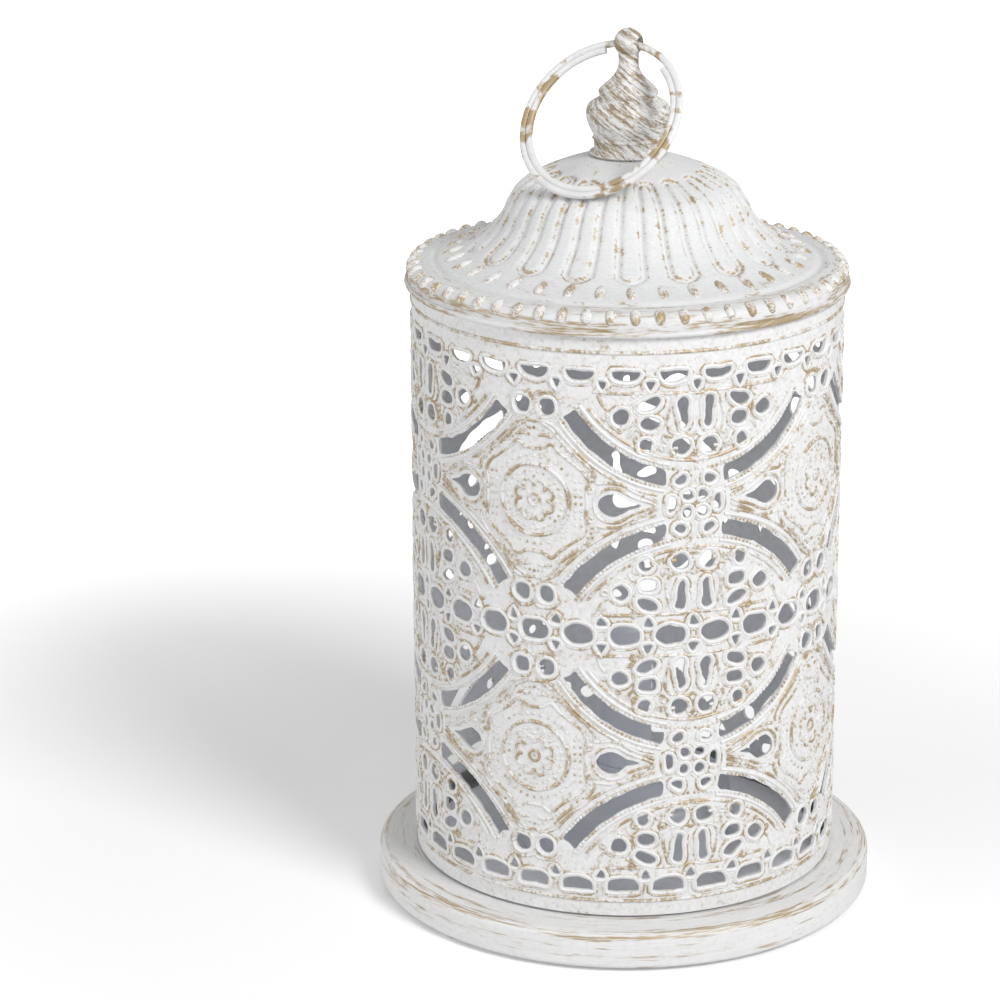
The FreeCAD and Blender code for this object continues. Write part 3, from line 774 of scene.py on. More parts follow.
def grown(line, amount):
    """Moves a closed outline outwards by amount, square to its run at each place."""
    area = sum(a[0] * b[1] - b[0] * a[1] for a, b in zip(line, line[1:] + line[:1]))
    sign = 1 if area > 0 else -1
    moved = []
    for before, place, after in zip(line[-1:] + line[:-1], line, line[1:] + line[:1]):
        along = Vector((after[0] - before[0], after[1] - before[1]))
        if along.length == 0:
            continue
        along.normalize()
        moved.append((place[0] + sign * amount * along.y, place[1] - sign * amount * along.x))
    return moved


def keep_outside(bm):
    """Moves what would come out inside the drum back into the sheet."""
    limit = DRUM_RADIUS - KEPT_SHEET * SHEET
    for vert in bm.verts:
        far = reach(vert.co)
        if far < limit:
            vert.co.x *= limit / far
            vert.co.y *= limit / far


def wires(lines, name, radius, sink, closed=True, material=EDGE_PAINT):
    """One mesh of round wires that follow lines on the strip."""
    curve = bpy.data.curves.new(name + "_path", "CURVE")
    curve.dimensions = "3D"
    curve.bevel_depth = radius
    curve.bevel_resolution = 1
    curve.use_fill_caps = not closed
    for line in lines:
        spline = curve.splines.new("POLY")
        spline.points.add(len(line) - 1)
        for point, place in zip(spline.points, line):
            point.co = (*roll(place, DRUM_RADIUS - sink), 1.0)
            point.radius = 1.0 + RADIUS_NOISE * noise.noise(point.co.xyz / WOBBLE_LENGTH)
        spline.use_cyclic_u = closed
    holder = add_object(name + "_path", curve)
    bpy.context.view_layer.update()
    mesh = bpy.data.meshes.new_from_object(holder.evaluated_get(bpy.context.evaluated_depsgraph_get()))
    bm = bmesh.new()
    bm.from_mesh(mesh)
    bpy.data.objects.remove(holder)
    bpy.data.curves.remove(curve)
    bpy.data.meshes.remove(mesh)
    keep_outside(bm)
    return finish(bm, name, "shade", material)


rimmed = [line for line in openings if len(line) <= ROUND_HOLE_PLACES]
wires([grown(line, RIM_GROWTH) for line in rimmed], "opening_rims", RIM_RADIUS, RIM_SINK,
      material=RIM_PAINT)
wires([grown(line, THIN_GROWTH) for line in rimmed], "opening_lines", THIN_RADIUS, THIN_SINK)

# %% [markdown]
# ## Frames, rosettes and scrolls
#
# Between the openings the press raised thinner lines: double frames round each
# medallion, petals and a ring inside it, and small scrolls in the domes. They are the
# same kind of wire as the outlines, so only their places are new. All places are
# shares of the drum's radius again.

# %% Lines of the medallions
PETAL_CENTRE_SHARE = 0.072
PETAL_SHARE = 0.027
PETAL_TURNS = (-67.5, -22.5, 22.5, 67.5)
PETAL_REACH = 120
ROSETTE_SHARE = 0.026
MEDALLION_RING_SHARE = 0.166
INNER_SIDE_SHARES = [(0.252, 0.110), (0.243, 0.055), (0.247, 0.0), (0.243, -0.055), (0.252, -0.110)]
INNER_FRAME_SHARES = [(0.0, 0.238), (0.040, 0.242), (0.070, 0.262), (0.092, 0.262), (0.122, 0.230),
                      (0.175, 0.190), (0.227, 0.152), (0.252, 0.110)]
OUTER_FRAME_SHARES = [(0.030, 0.372), (0.055, 0.352), (0.088, 0.332), (0.122, 0.292), (0.157, 0.255),
                      (0.209, 0.213), (0.255, 0.175), (0.284, 0.130), (0.290, 0.102), (0.335, 0.104),
                      (0.400, 0.098), (0.470, 0.060), (0.560, 0.018)]
BROW_SHARES = [(0.022, 0.300), (0.050, 0.306), (0.082, 0.298)]
SPADE_FRAME_END_SHARES = (0.278, 0.555)
SPADE_FRAME_SHARES = [(0.284, 0.034), (0.312, 0.066), (0.352, 0.080), (0.396, 0.074), (0.436, 0.050),
                      (0.480, 0.030)]
FIELD_SCROLL_SHARES = ((0.262, 0.072), 0.018, 200, 1.0)


def scroll(centre, radius, start, turns, steps=14):
    """A spiral that winds in from radius to a third of it."""
    places = []
    for i in range(steps + 1):
        share = i / steps
        angle = math.radians(start) + FULL_TURN * turns * share
        part = radius * (1 - 0.7 * share)
        places.append((centre[0] + part * math.cos(angle), centre[1] + part * math.sin(angle)))
    return places


def petal(turn):
    """An arc of the rosette, open towards its middle."""
    centre = (PETAL_CENTRE_SHARE * math.cos(turn), PETAL_CENTRE_SHARE * math.sin(turn))
    return arc_line(centre, PETAL_SHARE, math.degrees(turn) - PETAL_REACH,
                    math.degrees(turn) + PETAL_REACH, 8)


field_lines = [petal(math.radians(turn)) for turn in PETAL_TURNS]
field_lines.append(arc_line((0, 0), ROSETTE_SHARE, -90, 90, 6))
field_lines.append(smooth_line(INNER_SIDE_SHARES, 4))
for line in (smooth_line(INNER_FRAME_SHARES, 4), smooth_line(OUTER_FRAME_SHARES, 4),
             smooth_line(BROW_SHARES, 3), scroll(*FIELD_SCROLL_SHARES)):
    field_lines += [line, mirrored(line, 1, -1)]
spade_frame = leaf(SPADE_FRAME_END_SHARES[0], SPADE_FRAME_SHARES, SPADE_FRAME_END_SHARES[1])
print(len(field_lines), "lines in half a medallion")

# %% Lines of the domes
DOME_CENTRE_SHARE = (0.0, BAND_CENTRE_SHARE)
INNER_ARC_GAP_SHARE = 0.050
OUTER_ARC_GAP_SHARE = 0.048
ARCH_SHARES = [(0.0, 0.285), (0.030, 0.300), (0.100, 0.285), (0.125, 0.262), (0.130, 0.215),
               (0.120, 0.165), (0.105, 0.120)]
DOME_SCROLL_SHARES = [((0.128, 0.305), 0.026, -60, 1.1), ((0.275, 0.105), 0.022, 90, 1.1),
                      ((0.155, 0.350), 0.018, 120, 1.0)]
DOME_LINE_SHARES = [
    [(0.150, 0.110), (0.200, 0.096), (0.255, 0.115), (0.300, 0.148)],
    [(0.255, 0.250), (0.285, 0.270), (0.300, 0.300)],
    [(0.395, 0.175), (0.420, 0.150), (0.440, 0.105)],
    [(0.0, 0.105), (0.120, 0.098), (0.330, 0.098), (0.460, 0.092)],
    [(0.0, 0.420), (0.030, 0.400), (0.100, 0.392), (0.120, 0.370)],
]
ARC_SCROLL_REACH_SHARE = 0.562
ARC_SCROLL_SHARE = 0.020
ARC_SCROLL_TURNS = range(44, 90, 9)
EYE_ARC_SHARE = 0.054
EYE_LINE_SHARES = [[(0.0, 0.128), (0.030, 0.110), (0.085, 0.112), (0.130, 0.150)],
                   [(0.0, 0.250), (0.045, 0.244), (0.095, 0.262), (0.130, 0.300)]]
dome_lines = [arc_line(DOME_CENTRE_SHARE, BAND_SHARES[0] - INNER_ARC_GAP_SHARE, 90, 36, 14),
              arc_line(DOME_CENTRE_SHARE, BAND_SHARES[1] + OUTER_ARC_GAP_SHARE, 77, 36, 12),
              smooth_line(ARCH_SHARES, 3)]
dome_lines += [scroll(*shares) for shares in DOME_SCROLL_SHARES]
dome_lines += [smooth_line(shares, 3) for shares in DOME_LINE_SHARES]
for turn in ARC_SCROLL_TURNS:
    centre = (math.cos(math.radians(turn)) * ARC_SCROLL_REACH_SHARE,
              BAND_CENTRE_SHARE + math.sin(math.radians(turn)) * ARC_SCROLL_REACH_SHARE)
    dome_lines.append(scroll(centre, ARC_SCROLL_SHARE, turn + 150, 0.9, 10))
eye_lines = [arc_line(EYE_CENTRE_SHARE, EYE_ARC_SHARE, 80, 260, 8)]
eye_lines += [smooth_line(shares, 3) for shares in EYE_LINE_SHARES]
print(len(dome_lines), "lines in half a dome")

# %% Wires of the frames
LINE_RADIUS = 0.55 * MM
LINE_SINK = 0.12 * MM
RING_SINK = 0.2 * MM
SLOT_EDGE_SHARE = 0.023
SLOT_EDGE_RADIUS = 0.6 * MM
SLOT_EDGE_SINK = 0.1 * MM
frame_lines = lay_out(cut=True, dome=dome_lines, eye=eye_lines, field=field_lines)
wires(frame_lines, "frame_lines", LINE_RADIUS, LINE_SINK, closed=False)
wires(lay_out(field=[spade_frame]), "spade_frames", LINE_RADIUS, LINE_SINK)
medallion_ring = oval((0, 0), MEDALLION_RING_SHARE, MEDALLION_RING_SHARE, steps=40)
rings = [on_strip(medallion_ring, turn + REPEAT / 2, height)
         for turn in DOME_TURNS for height in FIELDS]
wires([line for line in rings if line], "medallion_rings", RIM_RADIUS, RING_SINK)
edge_arcs = [arc_line(DOME_CENTRE_SHARE, BAND_SHARES[0] - SLOT_EDGE_SHARE, 79, 33, 14),
             arc_line(DOME_CENTRE_SHARE, BAND_SHARES[1] + SLOT_EDGE_SHARE, 79, 34, 14)]
wires(lay_out(cut=True, dome=edge_arcs), "slot_edges", SLOT_EDGE_RADIUS, SLOT_EDGE_SINK, closed=False,
      material=RIM_PAINT)

# %% [markdown]
# ## Beads and dots
#
# A row of tiny beads follows both sides of each long slot, and dots fill the
# medallions. There are thousands, so each is the smallest ball with round shading: an
# icosphere of one subdivision, flattened against the wall. Bumps in the material
# would be cheaper, but they vanish at the drum's outline.

# %% Beads on the drum
BEAD_PITCH_SHARE = 0.021
BEAD_GAP_SHARE = 0.007
BEAD_RADIUS = 0.62 * MM
DOT_RADIUS = 0.55 * MM
DOT_PITCH_SHARE = 0.028
FLATNESS = 0.6
DOT_LINE_SHARES = [(0.0, 0.335), (0.045, 0.328), (0.090, 0.297), (0.128, 0.262), (0.182, 0.222),
                   (0.236, 0.180), (0.268, 0.132), (0.272, 0.085)]
SIDE_DOT_SHARES = (0.196, 0.222)
SIDE_DOT_PITCH_SHARE = 0.034
DOT_CIRCLE_SHARES = ((0.0, 1), (0.072, 8), (0.110, 8), (0.134, 26))
CORNER_DOT_SHARE = 0.205
CORNER_DOT_TURNS = [math.radians(turn) for turn in range(40, 141, 10)]


def dots(places, name, radius):
    """One mesh of flattened balls at places on the strip."""
    bm = bmesh.new()
    for place in places:
        around = Matrix.Rotation(place[0] / DRUM_RADIUS, 4, "Z")
        where = Matrix.Translation(roll(place, DRUM_RADIUS)) @ around
        where = where @ Matrix.Diagonal((1, FLATNESS, 1, 1))
        bmesh.ops.create_icosphere(bm, subdivisions=1, radius=radius, matrix=where)
    keep_outside(bm)
    return finish(bm, name, "shade", BEAD_PAINT, recalc=False)


def along_arc(radius, start, end):
    """Places a bead's pitch apart along an arc of the dome."""
    steps = max(1, round(radius * math.radians(abs(end - start)) / BEAD_PITCH_SHARE))
    return arc_line(DOME_CENTRE_SHARE, radius, start, end, steps)


def along_line(places, pitch):
    """Places spaced evenly along a line of straight runs."""
    laid = []
    for first, last in zip(places, places[1:]):
        count = max(1, round(math.dist(first, last) / pitch))
        laid += [tuple(a + (b - a) * i / count for a, b in zip(first, last)) for i in range(count)]
    return laid


slot_rows = (along_arc(BAND_SHARES[0] - BEAD_GAP_SHARE, 88.5, 33),
             along_arc(BAND_SHARES[1] + BEAD_GAP_SHARE, 77, 34))
bead_places = []
for turn in DOME_TURNS:
    for side in (-1, 1):
        for height, way in ROWS:
            for row in slot_rows:
                for place in mirrored(row, side, way):
                    bead_places += on_strip([place], turn, height) or []
dots(bead_places, "slot_beads", BEAD_RADIUS)

frame_dots = along_line(DOT_LINE_SHARES, DOT_PITCH_SHARE)
medallion = [(side * x, way * y) for x, y in frame_dots for side in (-1, 1) for way in (-1, 1)]
medallion += [(side * x, y * SIDE_DOT_PITCH_SHARE) for side in (-1, 1) for x in SIDE_DOT_SHARES
              for y in range(-3, 4)]
for radius, count in DOT_CIRCLE_SHARES:
    medallion += [(radius * math.cos(FULL_TURN * i / count), radius * math.sin(FULL_TURN * i / count))
                  for i in range(count)]
medallion += [(CORNER_DOT_SHARE * math.cos(turn), way * CORNER_DOT_SHARE * math.sin(turn))
              for way in (-1, 1) for turn in CORNER_DOT_TURNS]
dot_places = []
for turn in DOME_TURNS:
    for height in FIELDS:
        for place in medallion:
            dot_places += on_strip([place], turn + REPEAT / 2, height) or []
dots(dot_places, "rosette_dots", DOT_RADIUS)

# %% [markdown]
# ## Ribs
#
# A round rib is pressed out of the wall near the drum's foot and top, to stiffen the
# edge. It goes all the way round, so it is spun like the base instead of bent like
# the other wires.

# %% Ribs round the drum's ends
RIB_RADIUS = 0.6 * MM
RIB_SINK = 0.1 * MM
RIB_RISES = {"top_rib": 175.2 * MM, "foot_rib": 5.6 * MM}
for name, rise in RIB_RISES.items():
    rib = [(DRUM_RADIUS - RIB_SINK + RIB_RADIUS * math.cos(math.radians(a)),
            DRUM_FOOT + rise + RIB_RADIUS * math.sin(math.radians(a))) for a in range(0, 360, 45)]
    finish(spun(rib, ROUND_TURN), name, "shade", EDGE_PAINT)

# %% [markdown]
# ## The lid
#
# The lid is pressed from one sheet too. Its half section is spun with many steps, and
# the serpentine groove that draws the tongues is then pushed into the outer skin by
# how far each point is from the groove's centre line. A wire would stand out instead
# of in, and a bump would be flat at the outline. The same distance paints the gilt
# attribute, so the gold lies along the groove's edges.

# %% Section of the lid
LID_TURN = 640
SKIRT = 65.9 * MM
RIM_ROUND = 3.4 * MM
LIP = 1.0 * MM
LIP_HEIGHT = 1.8 * MM
LIP_SHARE = 0.4
BORE = 2.3 * MM
CROWN = 11.8 * MM
HILL_STEPS = 12
HILL_PLACES_MM = [(11.8, 0.0), (20.5, 2.9), (27.5, 5.8), (32.8, 9.2), (36.0, 13.9), (38.4, 18.8),
                  (43.2, 24.1), (50.0, 28.4), (56.8, 30.7)]
SKIRT_GAP = 0.1 * MM
SHOULDER_INSET = 1.4 * MM
SHOULDER_RISE = 0.2 * MM
UNDERSIDE = 0.9 * MM
rim_centre = (SKIRT - RIM_ROUND, LID_EDGE + RIM_ROUND)
rim = arc_line(rim_centre, RIM_ROUND, 80, 0, 8)
hill = [(radius * MM, CROWN_HEIGHT - drop * MM) for radius, drop in HILL_PLACES_MM]
hill = smooth_line(hill + [rim[0]], HILL_STEPS)
lip_centre = (SKIRT + LIP - LIP_HEIGHT * LIP_SHARE, LID_EDGE + LIP_HEIGHT / 2)
lip = [(SKIRT, LID_EDGE + LIP_HEIGHT)] + arc_line(lip_centre, LIP_HEIGHT / 2, 80, -90, 6)
outside = [(BORE, CROWN_HEIGHT), (0.5 * CROWN, CROWN_HEIGHT)] + hill + rim[1:] + lip
skirt_inside = DRUM_RADIUS + SKIRT_GAP
inside = [(skirt_inside, LID_EDGE), (skirt_inside, DRUM_TOP)]
inside.append((SKIRT - SHOULDER_INSET, DRUM_TOP + SHOULDER_RISE))
inside += [(radius - UNDERSIDE, height - UNDERSIDE) for radius, height in reversed(hill[8::8])]
inside += [(CROWN, CROWN_HEIGHT - SHEET), (BORE, CROWN_HEIGHT - SHEET)]
print(len(outside) + len(inside), "places in the lid's section")

# %% Lid skin
TONGUES = 36
TONGUE_PITCH = FULL_TURN / TONGUES
TONGUE_TOP = 22.5 * MM
TONGUE_FOOT = 47.5 * MM
GROOVE_RANGE = (0.9 * TONGUE_TOP, 1.1 * TONGUE_FOOT)
GROOVE_TURN = math.radians(-3.5)
GROOVE_WIDTH = 1.15 * MM
GROOVE_DEPTH = 1.05 * MM
RUN_SLOPE = 1.35
VALLEY = 58.2 * MM
VALLEY_WIDTH = 1.0 * MM
VALLEY_DEPTH = 0.7 * MM
GILT_OFFSET = 0.95 * MM
GILT_WIDTH = 0.42 * MM
GROOVE_GILT = 0.45
TIP_GILT = 0.32
TIP_LENGTH = 3.0 * MM
VALLEY_GILT = 0.15
RIM_GILT = 0.12
LIP_GILT = 0.31
RIM_GILT_WIDTH = 3.0 * MM
LIP_GILT_WIDTH = 0.3 * MM


def groove_distance(turn, radius):
    """How far a point of the lid lies from the serpentine groove's centre line."""
    column = math.floor((turn - GROOVE_TURN) / TONGUE_PITCH)
    across = ((turn - GROOVE_TURN) / TONGUE_PITCH - column) * TONGUE_PITCH * radius
    nearest = math.inf
    for k in (-1, 0, 1):
        low_end = (column + k) % 2 == 0
        half = TONGUE_PITCH * (TONGUE_FOOT if low_end else TONGUE_TOP) / 2
        outer_bend = TONGUE_FOOT - half / RUN_SLOPE
        inner_bend = TONGUE_TOP + half / RUN_SLOPE
        sideways = across - (k + 0.5) * TONGUE_PITCH * radius
        lengthways = (radius - (outer_bend if low_end else inner_bend)) * RUN_SLOPE
        past = lengthways > 0 if low_end else lengthways < 0
        other_end = radius < inner_bend if low_end else radius > outer_bend
        if past:
            squeezed = sideways * half / (TONGUE_PITCH * radius / 2)
            nearest = min(nearest, abs(math.hypot(squeezed, lengthways) - half))
        elif not other_end:
            nearest = min(nearest, abs(abs(sideways) - TONGUE_PITCH * radius / 2))
    return nearest


def bell(distance, width):
    """One at no distance, and fading to nothing over a few widths."""
    return math.exp(-((distance / width) ** 2))


lid_mesh = spun(outside + inside, LID_TURN)
gilt = lid_mesh.verts.layers.float.new("gilt")
bmesh.ops.recalc_face_normals(lid_mesh, faces=lid_mesh.faces)
for vert in lid_mesh.verts:
    radius = reach(vert.co)
    if radius > rim_centre[0] - RIM_GILT_WIDTH:
        vert[gilt] = RIM_GILT if radius < SKIRT - LIP_GILT_WIDTH else LIP_GILT
    if vert.normal.z > 0:
        valley = bell(radius - VALLEY, VALLEY_WIDTH)
        vert.co -= vert.normal * VALLEY_DEPTH * valley
        vert[gilt] += VALLEY_GILT * valley
    if not GROOVE_RANGE[0] < radius < GROOVE_RANGE[1] or vert.normal.z < 0:
        continue
    away = groove_distance(math.atan2(vert.co.x, -vert.co.y), radius)
    vert.co -= vert.normal * GROOVE_DEPTH * bell(away, GROOVE_WIDTH)
    tips = sum(bell(radius - end, TIP_LENGTH) for end in (TONGUE_TOP, TONGUE_FOOT))
    vert[gilt] = (GROOVE_GILT + TIP_GILT * tips) * bell(away - GILT_OFFSET, GILT_WIDTH)
lid = finish(lid_mesh, "lid_skin", "shade", LID_PAINT, ["lid"])
refinish(lid, BAND_PAINT, lambda centre, normal: reach(centre) > VALLEY + VALLEY_WIDTH)

# %% [markdown]
# ## Beads and drops on the lid
#
# A ring of round beads stands on the lid's rolled edge, and a ring of small drops
# marks the end of every tongue. Both are balls, stretched and tilted into place, and
# one function sets them round the lid.

# %% Rim beads and drops
RIM_BEADS = 58
RIM_BEAD_RADIUS = 1.75 * MM
RIM_BEAD_SHAPE = (0.95, 1.5, 1.0)
RIM_BEAD_SINK = 0.6 * MM
RIM_BEAD_ANGLE = math.radians(50)
RIM_BEAD_START = math.radians(2.2)
RIM_BEAD_TILT = math.radians(40)
DROP_RADIUS = 3.8 * MM
DROP_SHAPE = (0.40, 1.0, 0.30)
DROP_CIRCLE = 52.0 * MM
DROP_FALL = 29.4 * MM
DROP_START = math.radians(1.5)
DROP_TILT = math.radians(20)


def ring_of_balls(name, count, start, place, tilt, radius, shape, fineness):
    """Stretched balls round the lid; place is how far out and how high."""
    bm = bmesh.new()
    for i in range(count):
        turn = start + FULL_TURN * i / count
        where = Matrix.Rotation(turn, 4, "Z") @ Matrix.Translation((0, -place[0], place[1]))
        where = where @ Matrix.Rotation(tilt, 4, "X") @ Matrix.Diagonal((*shape, 1))
        bmesh.ops.create_icosphere(bm, subdivisions=fineness, radius=radius, matrix=where)
    return finish(bm, name, "shade", DROP_PAINT, recalc=False)


bead_out = RIM_ROUND - RIM_BEAD_SINK
bead_place = (rim_centre[0] + bead_out * math.cos(RIM_BEAD_ANGLE),
              rim_centre[1] + bead_out * math.sin(RIM_BEAD_ANGLE))
ring_of_balls("rim_beads", RIM_BEADS, RIM_BEAD_START, bead_place, RIM_BEAD_TILT, RIM_BEAD_RADIUS,
              RIM_BEAD_SHAPE, 3)
drop_place = (DROP_CIRCLE, CROWN_HEIGHT - DROP_FALL)
ring_of_balls("lid_drops", TONGUES, DROP_START, drop_place, DROP_TILT, DROP_RADIUS, DROP_SHAPE, 2)

# %% [markdown]
# ## The finial
#
# The finial is turned from a bar, so a spin of a smooth outline is exactly how it was
# made. The cross hole for the ring is bored with a boolean, because a drilled hole
# can't be spun.

# %% Finial
BALL_RADIUS = 4.4 * MM
BALL_CENTRE = FINIAL_TOP - BALL_RADIUS
NECK_RADIUS = 3.05 * MM
RING_HOLE = 2.0 * MM
RING_TURN = math.radians(-31.0)
FINIAL_PLACES_MM = [
    (10.3, 0.0), (10.4, 0.4), (11.5, 0.6), (11.5, 1.1), (10.6, 1.6), (10.2, 2.4), (10.2, 4.4), (10.7, 5.2),
    (10.2, 5.9), (10.9, 7.2), (12.0, 9.6), (12.6, 12.6), (12.0, 15.0), (10.0, 16.6), (8.5, 17.3), (8.8, 18.3),
    (8.75, 19.6), (7.4, 21.0), (5.6, 22.6), (4.2, 24.2), (3.2, 26.2), (3.0, 28.2), (3.05, 29.8),
]
finial_line = [(0.0, CROWN_HEIGHT)]
finial_line += [(radius * MM, CROWN_HEIGHT + rise * MM) for radius, rise in smooth_line(FINIAL_PLACES_MM, 4)]
ball_start = -math.degrees(math.acos(NECK_RADIUS / BALL_RADIUS))
finial_line += arc_line((0.0, BALL_CENTRE), BALL_RADIUS, ball_start, 90, 16)
finial_line[-1] = (0.0, FINIAL_TOP)
finial = finish(spun(finial_line, 96, closed=False), "finial_turned", "shade", FINIAL_PAINT,
                ["finial"])

# %% Bore the cross hole
bm = bmesh.new()
bore_way = Matrix.Translation((0, 0, BALL_CENTRE)) @ Matrix.Rotation(RING_TURN, 4, "Z")
bore_way = bore_way @ Matrix.Rotation(QUARTER_TURN, 4, "Y")
bmesh.ops.create_cone(bm, cap_ends=True, segments=32, radius1=RING_HOLE, radius2=RING_HOLE,
                      depth=4 * BALL_RADIUS, matrix=bore_way)
bore_mesh = bpy.data.meshes.new("ring_bore")
bm.to_mesh(bore_mesh)
bm.free()
bore = add_object("ring_bore", bore_mesh)
drill = finial.modifiers.new("ring_bore", "BOOLEAN")
drill.operation = "DIFFERENCE"
drill.solver = "EXACT"
drill.object = bore
bpy.context.view_layer.update()
drilled = bpy.data.meshes.new_from_object(finial.evaluated_get(bpy.context.evaluated_depsgraph_get()))
finial.modifiers.clear()
finial.data = drilled
bpy.data.objects.remove(bore)
print("finial", len(drilled.polygons), "faces")

# %% [markdown]
# ## The carrying ring
#
# The ring is round wire bent to a circle through the finial's ball, with a second
# wire brazed inside it that stops short on both sides. A bevelled curve would do, but
# a circle spun about the ring's own axis closes without a seam. The CAD node's box
# says how far the ring leans.

# %% Ring wires
RING_RADIUS = 25.1 * MM
WIRE_RADIUS = 1.1 * MM
WIRE_SIDES = 14
WIRE_GAP = 0.12 * MM
RING_STEPS = 128
INNER_START = math.radians(38)
INNER_SWEEP = math.radians(305)
INNER_STEPS = 110
hinge = Vector(next(joint["pos_m"] for joint in frame["joints"] if joint["name"] == "ring_swing"))
fall = hinge.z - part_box("ring_outer_wire")[0].z
lean = math.asin(fall / math.hypot(2 * RING_RADIUS, WIRE_RADIUS))
lean -= math.atan2(WIRE_RADIUS, 2 * RING_RADIUS)
print("ring leans", round(math.degrees(lean), 2))
hang = Matrix.Translation(hinge) @ Matrix.Rotation(RING_TURN, 4, "Z")
hang = hang @ Matrix.Rotation(lean - QUARTER_TURN, 4, "X") @ Matrix.Translation((0, 0, -RING_RADIUS))


def ring_wire(radius, start, sweep, steps):
    """A round wire about the ring's axis; angles run from the ball to the right."""
    full = sweep >= FULL_TURN
    bm = bmesh.new()
    bmesh.ops.create_circle(bm, segments=WIRE_SIDES, radius=WIRE_RADIUS)
    bmesh.ops.rotate(bm, verts=bm.verts, cent=(0, 0, 0), matrix=Matrix.Rotation(QUARTER_TURN, 3, "Y"))
    bmesh.ops.translate(bm, verts=bm.verts, vec=(0, 0, radius))
    bmesh.ops.rotate(bm, verts=bm.verts, cent=(0, 0, 0), matrix=Matrix.Rotation(start, 3, "Y"))
    if not full:
        bmesh.ops.contextual_create(bm, geom=bm.edges[:])
    bmesh.ops.spin(bm, geom=bm.faces[:] + bm.edges[:] + bm.verts[:], cent=(0, 0, 0), axis=(0, 1, 0),
                   angle=sweep, steps=steps, use_merge=full, use_normal_flip=False, use_duplicate=False)
    bmesh.ops.remove_doubles(bm, verts=bm.verts, dist=MERGE_DISTANCE)
    bmesh.ops.transform(bm, matrix=hang, verts=bm.verts)
    return bm


finish(ring_wire(RING_RADIUS, 0.0, FULL_TURN, RING_STEPS), "ring_outer", "ring", RING_PAINT,
       ["ring_outer_wire"])
inner_radius = RING_RADIUS - 2 * WIRE_RADIUS * math.cos(math.pi / 8) + WIRE_GAP
finish(ring_wire(inner_radius, INNER_START, INNER_SWEEP, INNER_STEPS), "ring_inner", "ring",
       RING_PAINT, ["ring_inner_wire"])

# %% [markdown]
# ## CAD nodes that stay
#
# The loose light, its cells and switch, the screws, the pads and the collar already
# have their true shapes. Making them again would only risk a misfit, so each keeps
# its CAD mesh and only gets a finish.

# %% Finishes for the CAD nodes
finishes = {
    # The collar's dark finish is painted shadow for the gap under the drum.
    "base_collar": COLLAR_PAINTED_SHADOW, "foot_pads": PAD_RUBBER, "finial_screw": STEEL, "finial_washer": STEEL,
    "light_housing": GREY_PLASTIC, "light_floor": GREY_PLASTIC, "battery_door": GREY_PLASTIC,
    "door_screw": STEEL, "battery_cells": CELL_WRAP, "contact_springs": STEEL, "contact_plates": STEEL,
    "circuit_board": BOARD_GREEN, "switch_body": DARK_PLASTIC, "switch_knob": DARK_PLASTIC,
    "tube_socket": GREY_PLASTIC, "light_tube": FROSTED, "lamp_board": BOARD_GREEN, "lamp": LAMP_RESIN,
}
for name, material in finishes.items():
    mesh = frame["nodes"][name].data
    if not mesh.materials:
        mesh.materials.append(material)
    for index in range(len(mesh.materials)):
        mesh.materials[index] = material
print(len(finishes), "CAD nodes finished")

# %% [markdown]
# ## Floor
#
# The floor is white paper that runs out of sight. It must look white and still keep
# the soft shadow. A brighter lamp would burn out the lantern, so the paper's material
# adds a little light of its own for camera rays only, and more of it further away.

# %% Floor
FLOOR_HALF = 6.0
PAPER = (0.85, 0.85, 0.855, 1.0)
PAPER_ROUGHNESS = 0.9
NEAR_GLOW = 0.20
GLOW_REACH = (0.14, 0.66)
bm = bmesh.new()
bmesh.ops.create_grid(bm, x_segments=1, y_segments=1, size=FLOOR_HALF)
floor_mesh = bpy.data.meshes.new("floor")
bm.to_mesh(floor_mesh)
bm.free()
floor = add_object("floor", floor_mesh)
paper, tree, shader = new_finish("white_paper")
far = vector_node(tree, "LENGTH", object_place(tree))
seen = add_node(tree, "ShaderNodeLightPath").outputs["Is Camera Ray"]
glow = math_node(tree, "MULTIPLY", seen, range_node(tree, far, *GLOW_REACH, NEAR_GLOW, 1.0))
give_all(tree, shader, {"Base Color": PAPER, "Roughness": PAPER_ROUGHNESS, "Specular IOR Level": 0.0,
                        "Emission Color": (1, 1, 1, 1), "Emission Strength": glow})
floor_mesh.materials.append(paper)
print("floor", 2 * FLOOR_HALF, "m wide")

# %% [markdown]
# ## Light
#
# The photo's shadow is long and soft and falls to the left, so one large disc lamp
# stands high on the right, in front. A second, larger one low on the left keeps the
# shaded side open, and a pale world fills the rest. To camera and glossy rays the
# world is plain white, so the background is clean.

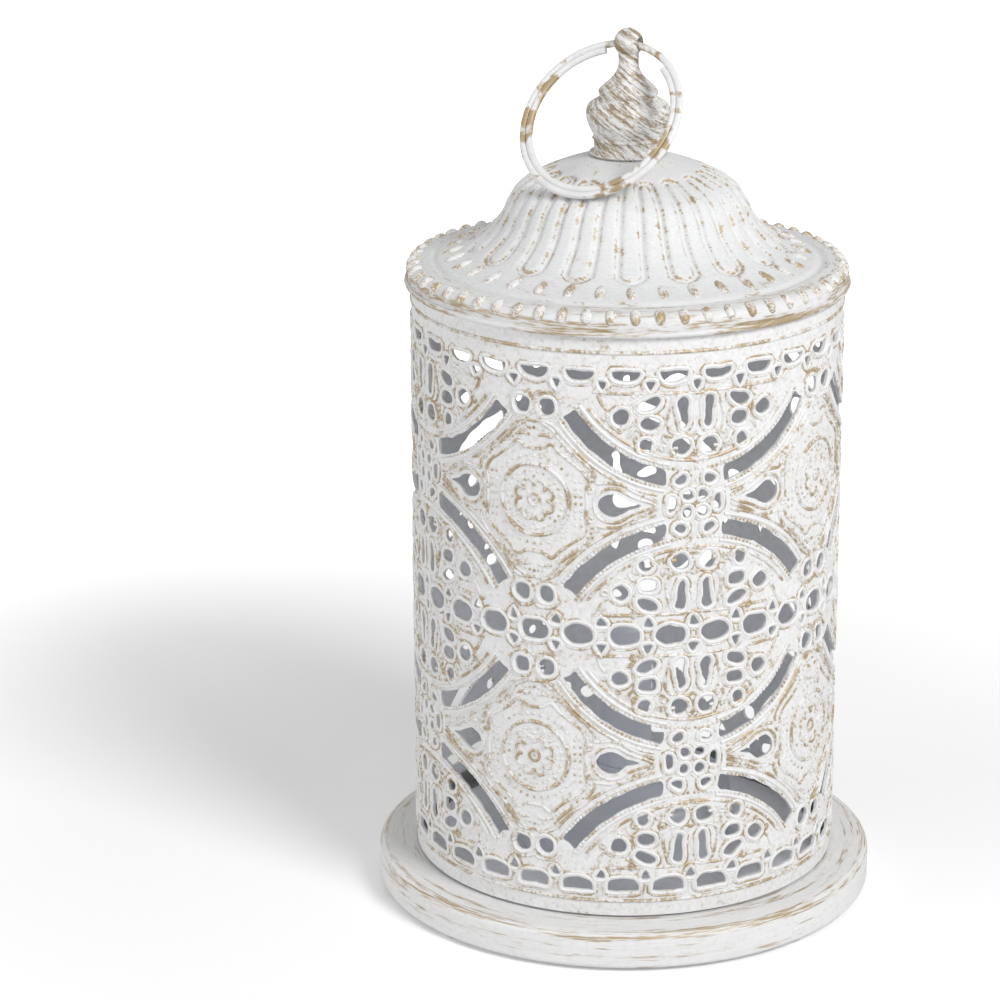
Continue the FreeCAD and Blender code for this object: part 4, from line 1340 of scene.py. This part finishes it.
# %% Light
MIDDLE = (0.0, 0.0, 0.13)
LAMPS = {
    "key_lamp": ((0.785, -0.936, 1.05), 0.60, 17.5),
    "left_fill": ((-1.6, -0.6, 0.36), 1.2, 12.0),
}
WORLD_FILL = 0.41
for name, (place, size, watts) in LAMPS.items():
    data = bpy.data.lights.new(name, "AREA")
    data.shape = "DISK"
    data.size = size
    data.energy = watts
    lamp = add_object(name, data)
    lamp.location = place
    lamp.rotation_mode = "QUATERNION"
    lamp.rotation_quaternion = (Vector(MIDDLE) - Vector(place)).to_track_quat("-Z", "Y")
world = bpy.data.worlds.new("studio")
bpy.context.scene.world = world
world.use_nodes = True
tree = world.node_tree
path = add_node(tree, "ShaderNodeLightPath").outputs
shown = math_node(tree, "MAXIMUM", path["Is Camera Ray"], path["Is Glossy Ray"])
strength = math_node(tree, "ADD", math_node(tree, "MULTIPLY", shown, 1.0 - WORLD_FILL), WORLD_FILL)
give_all(tree, tree.nodes["Background"], {"Color": (1, 1, 1, 1), "Strength": strength})
print(len(LAMPS), "lamps")

# %% [markdown]
# ## Camera
#
# The camera stands where the photographer stood: how flat the lantern's circles look
# gives its tilt, and how much narrower the foot is than the lid gives its distance. It
# is aimed by angles, because they came straight out of that working.

# %% Camera
CAMERA_PLACE = Vector((0.0, -1.0415, 0.4602))
CAMERA_DOWN = math.radians(17.95)
CAMERA_YAW = math.radians(-2.12)
CAMERA_ROLL = math.radians(0.26)
CAMERA_LENS = 128.35
SENSOR_WIDTH = 36.0
ahead = Vector((math.sin(CAMERA_YAW) * math.cos(CAMERA_DOWN), math.cos(CAMERA_YAW) * math.cos(CAMERA_DOWN),
                -math.sin(CAMERA_DOWN)))
camera_data = bpy.data.cameras.new("camera")
camera_data.sensor_width = SENSOR_WIDTH
camera_data.lens = CAMERA_LENS
camera = add_object("camera", camera_data)
camera.location = CAMERA_PLACE
camera.rotation_mode = "QUATERNION"
camera.rotation_quaternion = (Matrix.Rotation(CAMERA_ROLL, 4, ahead)
                              @ ahead.to_track_quat("-Z", "Y").to_matrix().to_4x4()).to_quaternion()
bpy.context.scene.camera = camera
bpy.context.scene.view_settings.view_transform = "Standard"
print("camera", round(CAMERA_PLACE.length, 3), "m away")

# %% Update the scene
bpy.context.view_layer.update()
